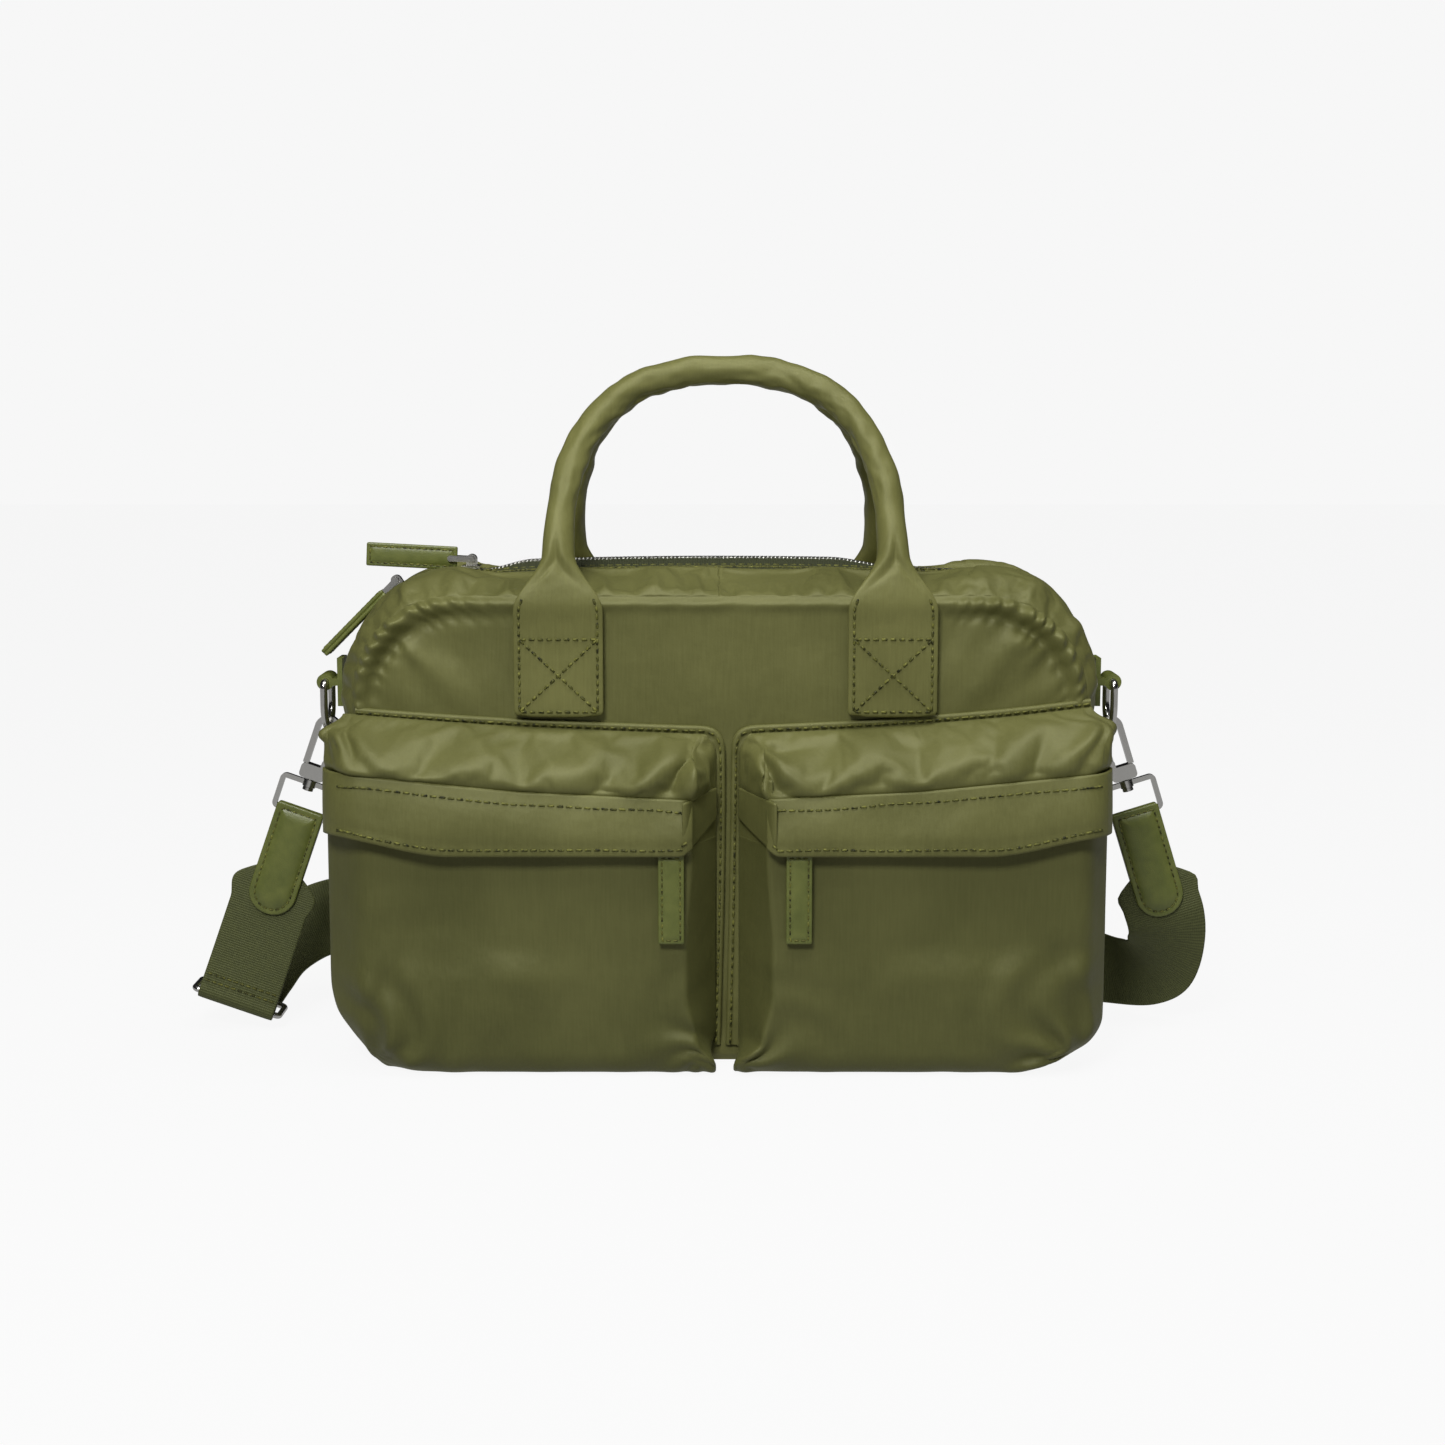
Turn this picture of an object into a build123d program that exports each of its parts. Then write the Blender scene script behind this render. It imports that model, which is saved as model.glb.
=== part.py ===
from build123d import *
import os
from math import cos, radians, sin

# A small soft zip-top bag: two rolled handles, a main zip that runs over the top and round
# both upper corners, two cargo pockets with a fly flap, and a clip-on webbing strap.
# Millimetres. X is the width, the front faces -Y, +Z is up, and the origin is the middle of
# the base where it stands.

# ---- bag body ----
PANEL_Y = 50.0          # inner face of the front and back panels, from the middle plane
CLOTH = 2.0             # front and back panel
PANEL_HALF = 168.0
PANEL_TOP = 217.0
PANEL_TOP_RADIUS = 48.0
PANEL_BASE_RADIUS = 22.0
RISE = 11.0             # how far the gusset crowns out between the panels
GUSSET = 1.6
CROWN_HALF = PANEL_HALF + RISE
CROWN_TOP = PANEL_TOP + RISE
CROWN_RADIUS = PANEL_TOP_RADIUS + RISE
CROWN_BASE_RADIUS = 26.0
CORNER_X = PANEL_HALF - PANEL_TOP_RADIUS
CORNER_Z = PANEL_TOP - PANEL_TOP_RADIUS
UPPER_GUSSET_Z = 150.0
SLOT_HALF = 8.0         # half of the gap in the top gusset that holds the main zip
LINING = 0.8
LINING_GAP = 0.6
LINING_TOP = 178.0
PIPING_R = 1.2

# ---- main zip ----
SLOPE = radians(12.4)   # fall of the top gusset from the crown to a panel
TAPE_IN, TAPE_OUT = 4.0, 16.0
COIL_IN = 1.9
TAPE_THICK = 0.8
COIL_THICK = 1.8
MOUTH_LEFT, MOUTH_RIGHT = -100.0, 119.5
MOUTH_ROOT_Y = 48.3
ZIP_ARC = 70.0          # degrees of each corner that the zip runs round
GAP = 0.5
SLIDER_1_X = -117.5
SLIDER_2_ANGLE = 33.0
SLIDER_LONG = 8.6
SLIDER_HALF_Y = 6.3
LINK_LONG = 10.0
PULL_LONG, PULL_WIDE, PULL_THICK = 43.0, 11.0, 2.8

# ---- handles ----
HANDLE_Y = 57.0
HANDLE_PIVOT_Z = 214.2
HANDLE_LEAN = 21.0      # degrees that each handle leans over the zip
HANDLE_R = 7.0
CORE_R = 4.5
HANDLE_FOOT_X = 76.0
HANDLE_MIDDLE_X = 3.0   # both handles are sewn on a little to the right of the middle
TAB_WIDE, TAB_THICK = 41.0, 2.8
TAB_LOW, TAB_HIGH = 162.0, 212.2

# ---- pockets ----
POCKET_FACE_Y = 79.0
POCKET_OUT = 177.0
POCKET_TOP = 160.0
POCKET_SPANS = {"left": (-POCKET_OUT, -8.0), "right": (16.0, POCKET_OUT)}
TOP_SPANS = {"left": (-POCKET_OUT, -2.0), "right": (5.0, POCKET_OUT)}
ZIP_LOW, ZIP_HIGH = 107.0, 118.0
ZIP_Z = 112.5
FLAP_LOW, FLAP_HIGH = 103.0, 129.0
FLAP_Y = 85.0
FLAP_THICK = 1.6
POCKET_PULL_X = {"left": -21.5, "right": 36.0}
POCKET_PULL_LOW, POCKET_PULL_HIGH = 63.0, 104.0

# ---- strap hardware ----
RING_X = 187.5
RING_BAR_Z = 172.6
RING_WIRE = 1.8
RING_ARC_R = 11.2
RING_ARC_Z = 161.6
HOOK_Z = RING_ARC_Z - RING_ARC_R
HOOK_TILT = {"left": 19.5, "right": 17.5}
WEB_WIDE, WEB_THICK = 38.0, 1.5
LOOP_WIRE = 2.4
LEATHER_WIDE, LEATHER_TIP = 23.0, 97.0
FOLD_AT = 144.5         # ring bar of the short webbing, measured down the tilted strap
STRAP_RING_DEPTH = 18.0

SIDES = {"left": -1, "right": 1}
FACES = {"front": -1, "back": 1}

os.makedirs("parts", exist_ok=True)


def keep(builder, label):
    """Label a finished piece and write its file."""
    builder.part.label = label
    export_step(builder.part, f"parts/{label}.step")


def rounded_outline(half, low, high, base_radius, top_radius):
    """Outline of the bag seen from the front, as a flat sketch."""
    with BuildSketch() as outline:
        with Locations((0, (low + high) / 2)):
            Rectangle(2 * half, high - low)
        fillet(outline.vertices().group_by(Axis.Y)[0], base_radius)
        fillet(outline.vertices().group_by(Axis.Y)[-1], top_radius)
    return outline.sketch


def body_form(inset, half_depth):
    """Solid form of the gusset, flat at both panels and crowned in the middle."""
    with BuildPart() as form:
        with BuildSketch(Plane.XZ.offset(half_depth)):
            add(rounded_outline(PANEL_HALF - inset, inset, PANEL_TOP - inset,
                                PANEL_BASE_RADIUS - inset, PANEL_TOP_RADIUS - inset))
        with BuildSketch(Plane.XZ):
            add(rounded_outline(CROWN_HALF - inset, inset, CROWN_TOP - inset,
                                CROWN_BASE_RADIUS - inset, CROWN_RADIUS - inset))
        loft(ruled=True)
        mirror(about=Plane.XZ)
    return form.part


def block(low, high):
    """Plain box between two corners, for cutting."""
    size = [abs(b - a) for a, b in zip(low, high)]
    with BuildPart() as box:
        with Locations(tuple((a + b) / 2 for a, b in zip(low, high))):
            Box(*size)
    return box.part


FAR = 400.0

# ---- panels, gusset, lining ----
for face, sign in FACES.items():
    with BuildPart() as panel:
        with BuildSketch(Plane.XZ.offset(-sign * PANEL_Y)):
            add(rounded_outline(PANEL_HALF, 0, PANEL_TOP, PANEL_BASE_RADIUS, PANEL_TOP_RADIUS))
        extrude(amount=-sign * CLOTH)
    keep(panel, f"{face}_panel")

with BuildPart() as gusset_shell:
    add(body_form(0, PANEL_Y))
    add(body_form(GUSSET, PANEL_Y), mode=Mode.SUBTRACT)

with BuildPart() as wrap_gusset:
    add(gusset_shell.part)
    split(bisect_by=Plane.XY.offset(UPPER_GUSSET_Z), keep=Keep.BOTTOM)
keep(wrap_gusset, "wrap_gusset")

for face, sign in FACES.items():
    slot, root, outside = (sign * y for y in (SLOT_HALF, MOUTH_ROOT_Y, FAR))
    mouth_box = block((MOUTH_LEFT, slot, UPPER_GUSSET_Z), (MOUTH_RIGHT, root, FAR))
    fixed_hole = block((MOUTH_LEFT - GAP, slot, UPPER_GUSSET_Z), (MOUTH_RIGHT + GAP, outside, FAR))
    half_box = block((-FAR, slot, UPPER_GUSSET_Z), (FAR, outside, FAR))
    with BuildPart() as upper_gusset:
        add(gusset_shell.part)
        add(half_box, mode=Mode.INTERSECT)
        add(fixed_hole, mode=Mode.SUBTRACT)
    keep(upper_gusset, f"upper_gusset_{face}")
    with BuildPart() as mouth_panel:
        add(gusset_shell.part)
        add(mouth_box, mode=Mode.INTERSECT)
    keep(mouth_panel, f"mouth_panel_{face}")

with BuildPart() as lining:
    add(body_form(GUSSET + LINING_GAP, PANEL_Y - LINING_GAP))
    add(body_form(GUSSET + LINING_GAP + LINING, PANEL_Y - LINING_GAP - LINING), mode=Mode.SUBTRACT)
    split(bisect_by=Plane.XY.offset(LINING_TOP), keep=Keep.BOTTOM)
keep(lining, "lining")

BOARD_LOW = GUSSET + LINING_GAP + LINING + 0.2
with BuildPart() as base_board:
    with BuildSketch(Plane.XY.offset(BOARD_LOW)):
        RectangleRounded(2 * 138, 2 * 44, 12)
    extrude(amount=2.4)
keep(base_board, "base_board")

# rolled seam edge that stands along the sides and over the top of each panel
PIPING_LOW = 40.0
PIPING_OUT = PIPING_R + 0.3
with BuildPart() as seam_piping:
    for sign in FACES.values():
        with BuildLine(Plane.XZ.offset(-sign * (PANEL_Y + 0.6))) as seam:
            FilletPolyline(
                (-PANEL_HALF - PIPING_OUT, PIPING_LOW),
                (-PANEL_HALF - PIPING_OUT, PANEL_TOP + PIPING_OUT),
                (PANEL_HALF + PIPING_OUT, PANEL_TOP + PIPING_OUT),
                (PANEL_HALF + PIPING_OUT, PIPING_LOW),
                radius=PANEL_TOP_RADIUS + PIPING_OUT,
            )
        with BuildSketch(Plane(seam.line @ 0, z_dir=seam.line % 0)):
            Circle(PIPING_R)
        sweep(path=seam.line)
keep(seam_piping, "seam_piping")


# ---- main zip ----
def zip_profile(sign, along, depth):
    """Section of a zip strip in the Y-Z plane: along the slope from the crown, below it."""
    points = []
    for s, n in ((along[0], depth[0]), (along[1], depth[0]),
                 (along[1], depth[1]), (along[0], depth[1])):
        y = s * cos(SLOPE) + n * sin(SLOPE)
        z = CROWN_TOP - s * sin(SLOPE) + n * cos(SLOPE)
        points.append((sign * y, z))
    return points


TAPE_SECTION = ((TAPE_IN, TAPE_OUT), (-GUSSET - TAPE_THICK, -GUSSET))
COIL_SECTION = ((COIL_IN, TAPE_IN), (-GUSSET - COIL_THICK, -GUSSET))


def zip_run(sign, section, low, high):
    """A straight stretch of one zip strip."""
    with BuildPart() as run:
        with BuildSketch(Plane.YZ.offset(low)):
            Polygon(*zip_profile(sign, *section), align=None)
        extrude(amount=high - low)
    return run.part


def zip_corner(sign, section, side):
    """The stretch of one zip strip that runs round an upper corner of the bag."""
    with BuildPart() as corner:
        with BuildSketch(Plane.YZ.offset(side * CORNER_X)):
            Polygon(*zip_profile(sign, *section), align=None)
        revolve(axis=Axis((side * CORNER_X, 0, CORNER_Z), (0, side, 0)), revolution_arc=ZIP_ARC)
    return corner.part


for face, sign in FACES.items():
    with BuildPart() as zip_tape:
        add(zip_run(sign, TAPE_SECTION, MOUTH_LEFT, MOUTH_RIGHT))
    keep(zip_tape, f"zip_tape_{face}")
    with BuildPart() as zip_coil:
        add(zip_run(sign, COIL_SECTION, MOUTH_LEFT, MOUTH_RIGHT))
    keep(zip_coil, f"zip_coil_{face}")

for section, label in ((TAPE_SECTION, "zip_tape_ends"), (COIL_SECTION, "zip_coil_ends")):
    with BuildPart() as ends:
        for sign in FACES.values():
            add(zip_run(sign, section, -CORNER_X, MOUTH_LEFT - GAP))
            add(zip_corner(sign, section, -1))
            add(zip_corner(sign, section, 1))
    keep(ends, label)


def corner_plane(side, angle, radius):
    """Plane facing -Y on an upper corner's arc; its local y points out of the bag."""
    turn = radians(angle)
    out = Vector(side * sin(turn), 0, cos(turn))
    origin = Vector(side * CORNER_X, 0, CORNER_Z) + out * radius
    return Plane(origin=origin, x_dir=(cos(turn), 0, -side * sin(turn)), z_dir=(0, -1, 0))


with BuildPart() as zip_end_stops:
    for side in SIDES.values():
        stop = corner_plane(side, ZIP_ARC + 3.5, CROWN_RADIUS - GUSSET - 1.2)
        with BuildSketch(stop):
            Rectangle(3.0, 2.2)
        extrude(amount=3.4, both=True)
keep(zip_end_stops, "zip_end_stops")

# slider heights, measured out from the crown line
PLATE_LOW, PLATE_HIGH = -1.5, -0.2
BASE_LOW, BASE_HIGH = -6.0, -4.8
WEB_HALF = 0.4
BAIL_HALF_Y, BAIL_PIN_UP, LINK_PIN_R = 2.0, 2.6, 0.8


def slider(plane):
    """Zip slider about a plane whose origin is on the crown line and local y points out."""
    with BuildPart() as body:
        for low, high in ((PLATE_LOW, PLATE_HIGH), (BASE_LOW, BASE_HIGH)):
            with BuildSketch(plane):
                with Locations((0, (low + high) / 2)):
                    Rectangle(SLIDER_LONG, high - low)
            extrude(amount=SLIDER_HALF_Y, both=True)
        with BuildSketch(plane):
            with Locations((0, (BASE_HIGH + PLATE_LOW) / 2)):
                Rectangle(3.0, PLATE_LOW - BASE_HIGH)
        extrude(amount=WEB_HALF, both=True)
        with BuildSketch(plane):
            with Locations((0, (PLATE_HIGH + BAIL_PIN_UP) / 2)):
                Rectangle(5.0, BAIL_PIN_UP - PLATE_HIGH)
            with Locations((0, BAIL_PIN_UP)):
                Circle(2.5)
            with Locations((0, BAIL_PIN_UP)):
                Circle(LINK_PIN_R + 0.08, mode=Mode.SUBTRACT)
        extrude(amount=BAIL_HALF_Y, both=True)
    return body


def link(plane):
    """Pull link: two side plates on two pins, along local x from the plane's origin."""
    with BuildPart() as body:
        for y in (0.0, LINK_LONG):
            with BuildSketch(plane):
                with Locations((y, 0)):
                    Circle(LINK_PIN_R)
            extrude(amount=BAIL_HALF_Y + 1.3, both=True)
        for start in (BAIL_HALF_Y + 0.2, -BAIL_HALF_Y - 1.3):
            with BuildSketch(plane.offset(start)):
                with Locations((LINK_LONG / 2, 0)):
                    SlotCenterToCenter(LINK_LONG, 2.8)
            extrude(amount=1.1)
    return body


def flat_pull(plane):
    """Leather pull whose face looks along the link's pins, hung by a punched hole."""
    with BuildPart() as body:
        with BuildSketch(plane):
            with Locations((LINK_LONG + PULL_LONG / 2 - 3, 0)):
                RectangleRounded(PULL_LONG, PULL_WIDE, 2.4)
            with Locations((LINK_LONG, 0)):
                Circle(LINK_PIN_R + 0.08, mode=Mode.SUBTRACT)
        extrude(amount=PULL_THICK / 2, both=True)
    return body


def folded_pull(plane):
    """Leather pull folded over the link's outer pin, its width along the pin."""
    half = PULL_THICK / 2
    with BuildPart() as body:
        with BuildSketch(plane):
            with Locations((LINK_LONG, 0)):
                Circle(half + 0.6)
            with Locations((LINK_LONG + PULL_LONG / 2 - 3, 0)):
                Rectangle(PULL_LONG - 6, PULL_THICK)
            with Locations((LINK_LONG, 0)):
                Circle(LINK_PIN_R + 0.08, mode=Mode.SUBTRACT)
        extrude(amount=BAIL_HALF_Y - 0.2, both=True)
        with BuildSketch(plane):
            with Locations((LINK_LONG + PULL_LONG / 2 + 1, 0)):
                Rectangle(PULL_LONG - 10, PULL_THICK)
        extrude(amount=PULL_WIDE / 2, both=True)
    return body


def direction_plane(origin, angle):
    """Plane facing -Y through a pin, its local x at an angle up from +X."""
    turn = radians(angle)
    return Plane(origin=origin, x_dir=(cos(turn), 0, sin(turn)), z_dir=(0, -1, 0))


PULL_1_ANGLE, PULL_2_ANGLE = 177.0, 225.0
slider_1_plane = Plane(origin=(SLIDER_1_X, 0, CROWN_TOP), z_dir=(0, -1, 0), x_dir=(1, 0, 0))
slider_2_plane = corner_plane(-1, SLIDER_2_ANGLE, CROWN_RADIUS)
for number, plane, angle, pull in (
    (1, slider_1_plane, PULL_1_ANGLE, flat_pull),
    (2, slider_2_plane, PULL_2_ANGLE, folded_pull),
):
    pin = plane.origin + plane.y_dir * BAIL_PIN_UP
    hang = direction_plane(pin, angle)
    keep(slider(plane), f"zip_slider_{number}")
    keep(link(hang), f"zip_link_{number}")
    keep(pull(hang), f"zip_pull_{number}")
    print(f"zip slider {number} pin", tuple(round(v, 2) for v in pin))


# ---- handles ----
with BuildPart() as handle_tabs:
    for sign in FACES.values():
        with BuildSketch(Plane.XZ.offset(-sign * (PANEL_Y + CLOTH + 0.3))):
            for side in SIDES.values():
                with Locations((HANDLE_MIDDLE_X + side * HANDLE_FOOT_X, (TAB_LOW + TAB_HIGH) / 2)):
                    RectangleRounded(TAB_WIDE, TAB_HIGH - TAB_LOW, 1.5)
        extrude(amount=-sign * TAB_THICK)
keep(handle_tabs, "handle_tabs")

NECK_UP, SHOULDER_UP, ARCH_UP = 22.0, 94.0, 119.0
SHOULDER_X = 67.0
FOOT_UP = 0.3


def handle_plane(sign):
    """Plane of a leaning handle; local y runs up the handle from its pivot line."""
    lean = radians(HANDLE_LEAN)
    up = Vector(0, -sign * sin(lean), cos(lean))
    return Plane(origin=(HANDLE_MIDDLE_X, sign * HANDLE_Y, HANDLE_PIVOT_Z), x_dir=(1, 0, 0),
                 z_dir=Vector(1, 0, 0).cross(up))


def handle_tube(plane, outer, inner, shorten=0.0):
    """Arched tube of a handle, from one neck to the other, each end cut back if asked."""
    share = shorten / (SHOULDER_UP - NECK_UP)
    foot_x = HANDLE_FOOT_X + (SHOULDER_X - HANDLE_FOOT_X) * share
    with BuildPart() as tube:
        with BuildLine(plane) as arch:
            FilletPolyline(
                (-foot_x, NECK_UP + shorten),
                (-SHOULDER_X, SHOULDER_UP),
                (0, ARCH_UP),
                (SHOULDER_X, SHOULDER_UP),
                (foot_x, NECK_UP + shorten),
                radius=[44.0, 105.0, 44.0],
            )
        with BuildSketch(Plane(arch.line @ 0, z_dir=arch.line % 0)):
            Circle(outer)
            if inner:
                Circle(inner, mode=Mode.SUBTRACT)
        sweep(path=arch.line)
    return tube.part


for face, sign in FACES.items():
    plane = handle_plane(sign)
    with BuildPart() as handle:
        add(handle_tube(plane, HANDLE_R, CORE_R + 0.1))
        for side in SIDES.values():
            foot = Plane(plane.from_local_coords((side * HANDLE_FOOT_X, FOOT_UP, 0)),
                         x_dir=(1, 0, 0), z_dir=plane.y_dir)
            with BuildSketch(foot):
                Rectangle(TAB_WIDE - 1, TAB_THICK)
            with BuildSketch(foot.offset((NECK_UP - FOOT_UP) * 0.5)):
                Rectangle(TAB_WIDE - 12, TAB_THICK + 2.5)
            with BuildSketch(foot.offset(NECK_UP - FOOT_UP)):
                Rectangle(14.0, 12.0)
            loft(ruled=True)
    keep(handle, f"handle_{face}")
    with BuildPart() as core:
        add(handle_tube(plane, CORE_R, 0, shorten=2.0))
    keep(core, f"handle_core_{face}")


# ---- pockets ----
WALL = 1.6
BACK_Y = -(PANEL_Y + CLOTH + 0.2)
POCKET_BASE = 0.4
POCKET_CORNER_R = 18.0


def pocket_form(low, high, inset, top):
    """Block of a pocket with rounded lower corners, each side pulled in by the inset."""
    with BuildPart() as form:
        add(block((low + inset, inset - POCKET_FACE_Y, POCKET_BASE + inset),
                  (high - inset, BACK_Y, top)))
        fillet(form.edges().filter_by(Axis.Y).group_by(Axis.Z)[0], POCKET_CORNER_R - inset)
    return form.part


for name, (low, high) in POCKET_SPANS.items():
    with BuildPart() as pocket_front:
        add(pocket_form(low, high, 0, ZIP_LOW))
        add(pocket_form(low, high, WALL, FAR), mode=Mode.SUBTRACT)
    keep(pocket_front, f"pocket_{name}_front")

for name, (low, high) in TOP_SPANS.items():
    outer = [(BACK_Y, POCKET_TOP), (-66.0, 157.5), (-77.0, 149.0), (-81.0, 138.0),
             (-81.0, FLAP_HIGH + 1.0), (-POCKET_FACE_Y, ZIP_HIGH)]
    inner = [(-POCKET_FACE_Y + WALL, ZIP_HIGH), (-79.4, FLAP_HIGH + 1.0), (-79.4, 137.6),
             (-75.8, 147.8), (-65.4, 155.9), (BACK_Y, POCKET_TOP - WALL)]
    with BuildPart() as pocket_top:
        with BuildSketch(Plane.YZ.offset(low)):
            Polygon(*outer, *inner, align=None)
        extrude(amount=high - low)
        for start in (low, high - WALL):
            with BuildSketch(Plane.YZ.offset(start)):
                Polygon(*outer, (BACK_Y, ZIP_HIGH), align=None)
            extrude(amount=WALL)
    keep(pocket_top, f"pocket_{name}_top")

TOOTH_GAP = 2.3         # half of the slot between the two rows of a pocket zip
for name, (low, high) in POCKET_SPANS.items():
    with BuildPart() as pocket_zip:
        for start, end in ((ZIP_LOW, ZIP_Z - TOOTH_GAP - 1.6), (ZIP_Z + TOOTH_GAP + 1.6, ZIP_HIGH)):
            add(block((low + 3, -POCKET_FACE_Y + 0.2, start), (high - 3, -POCKET_FACE_Y + 1.0, end)))
        for start in (ZIP_Z - TOOTH_GAP - 1.6, ZIP_Z + TOOTH_GAP):
            add(block((low + 3, -POCKET_FACE_Y, start), (high - 3, -POCKET_FACE_Y + 1.6, start + 1.6)))
    keep(pocket_zip, f"pocket_{name}_zip")
    with BuildPart() as pocket_flap:
        with BuildSketch(Plane.XZ.offset(FLAP_Y)):
            with Locations(((low + high) / 2, (FLAP_LOW + FLAP_HIGH) / 2)):
                RectangleRounded(high - low, FLAP_HIGH - FLAP_LOW, 3)
        extrude(amount=FLAP_THICK)
    keep(pocket_flap, f"pocket_{name}_flap")

# slider in the pocket zip, its stud, the link plate on the stud and the leather pull
STUD_R = 1.2
LINK_FRONT, LINK_BACK = POCKET_FACE_Y + 3.4, POCKET_FACE_Y + 2.4
for name, x in POCKET_PULL_X.items():
    with BuildPart() as pocket_slider:
        for front, back in ((1.6, 0.3), (-2.0, -3.2)):
            add(block((x - 4.5, -POCKET_FACE_Y - front, ZIP_Z - 5.0),
                      (x + 4.5, -POCKET_FACE_Y - back, ZIP_Z + 5.0)))
        add(block((x - 2, -POCKET_FACE_Y - 0.4, ZIP_Z - 1.6), (x + 2, -POCKET_FACE_Y + 2.1, ZIP_Z + 1.6)))
        with BuildSketch(Plane.XZ.offset(POCKET_FACE_Y + 1.5)):
            with Locations((x, ZIP_Z)):
                Circle(STUD_R)
        extrude(amount=3.0)
        with BuildSketch(Plane.XZ.offset(LINK_FRONT + 0.2)):
            with Locations((x, ZIP_Z)):
                Circle(2.2)
        extrude(amount=0.9)
    keep(pocket_slider, f"pocket_{name}_slider")
    with BuildPart() as pocket_link:
        with BuildSketch(Plane.XZ.offset(LINK_BACK)):
            with Locations((x, (ZIP_Z + 100.0) / 2)):
                SlotCenterToCenter(ZIP_Z - 100.0, 5.6, rotation=90)
            with Locations((x, ZIP_Z)):
                Circle(STUD_R + 0.08, mode=Mode.SUBTRACT)
        extrude(amount=LINK_FRONT - LINK_BACK)
    keep(pocket_link, f"pocket_{name}_link")
    with BuildPart() as pocket_pull:
        with BuildSketch(Plane.XZ.offset(LINK_BACK - 1.2)):
            with Locations((x, (POCKET_PULL_LOW + POCKET_PULL_HIGH) / 2)):
                RectangleRounded(11.6, POCKET_PULL_HIGH - POCKET_PULL_LOW, 2.4)
        extrude(amount=LINK_FRONT - LINK_BACK + 2.4)
        add(block((x - 2.85, -LINK_FRONT, 97.1), (x + 2.85, -LINK_BACK, FAR)), mode=Mode.SUBTRACT)
    keep(pocket_pull, f"pocket_{name}_pull")

# stitched band down the middle, where both pockets are sewn to the front panel
with BuildPart() as centre_seam_band:
    with BuildSketch(Plane.XZ.offset(PANEL_Y + CLOTH + 0.3)):
        with Locations((4.0, 53.0)):
            RectangleRounded(14.0, 100.0, 2)
    extrude(amount=2.2)
keep(centre_seam_band, "centre_seam_band")

# ---- D-rings and their leather loops ----
with BuildPart() as d_ring_loops:
    for side in SIDES.values():
        with BuildSketch(Plane.XZ):
            with Locations((side * RING_X, RING_BAR_Z)):
                Circle(4.0)
            with Locations((side * (RING_X - 4.2), RING_BAR_Z)):
                Rectangle(5.6, 3.4)
            with Locations((side * (CROWN_HALF + 1.4), RING_BAR_Z)):
                Rectangle(2.4, 23.0)
            with Locations((side * RING_X, RING_BAR_Z)):
                Circle(RING_WIRE + 0.06, mode=Mode.SUBTRACT)
        extrude(amount=7.6, both=True)
keep(d_ring_loops, "d_ring_loops")

for name, side in SIDES.items():
    with BuildPart() as d_ring:
        with BuildLine(Plane.YZ.offset(side * RING_X)) as wire:
            start = (-RING_ARC_R, RING_ARC_Z)
            low_arc = ThreePointArc(start, (0, HOOK_Z), (RING_ARC_R, RING_ARC_Z))
            FilletPolyline(
                (RING_ARC_R, RING_ARC_Z), (RING_ARC_R, RING_BAR_Z),
                (-RING_ARC_R, RING_BAR_Z), start, radius=2.6,
            )
        with BuildSketch(Plane((side * RING_X, 0, HOOK_Z), x_dir=(1, 0, 0), z_dir=(0, 1, 0))):
            Circle(RING_WIRE)
        sweep(path=wire.line)
    keep(d_ring, f"d_ring_{name}")

# ---- snap hooks ----
EYE_DROP = -0.9         # centre of the hook's round top, below the ring wire
EYE_R, HOOK_R = 3.4, 6.2
NOSE_LOW = -1.9
HOOK_BLOCK_TOP, HOOK_BLOCK_LOW = -20.0, -27.0
GATE_X, GATE_PIVOT, GATE_TOP = 4.4, -17.6, -2.2
HOOK_HALF_Y, CHEEK_IN, CHEEK_OUT = 2.0, 2.2, 3.0
RIVET_R = 0.9
STEM_R, BOSS_R = 1.6, 3.2
BOSS_TOP, BOSS_LOW = -27.5, -31.0


def tilted_plane(name):
    """Plane facing -Y at the ring wire; local y runs up the hanging strap end."""
    side = SIDES[name]
    tilt = radians(HOOK_TILT[name])
    return Plane(origin=(side * RING_X, 0, HOOK_Z), z_dir=(0, -1, 0),
                 x_dir=(cos(tilt), 0, side * sin(tilt)))


def across_plane(plane, down):
    """Plane square to the strap end at a distance down it, facing down the strap."""
    return Plane(plane.origin + plane.y_dir * down, x_dir=plane.x_dir, z_dir=plane.y_dir * -1)


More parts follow.
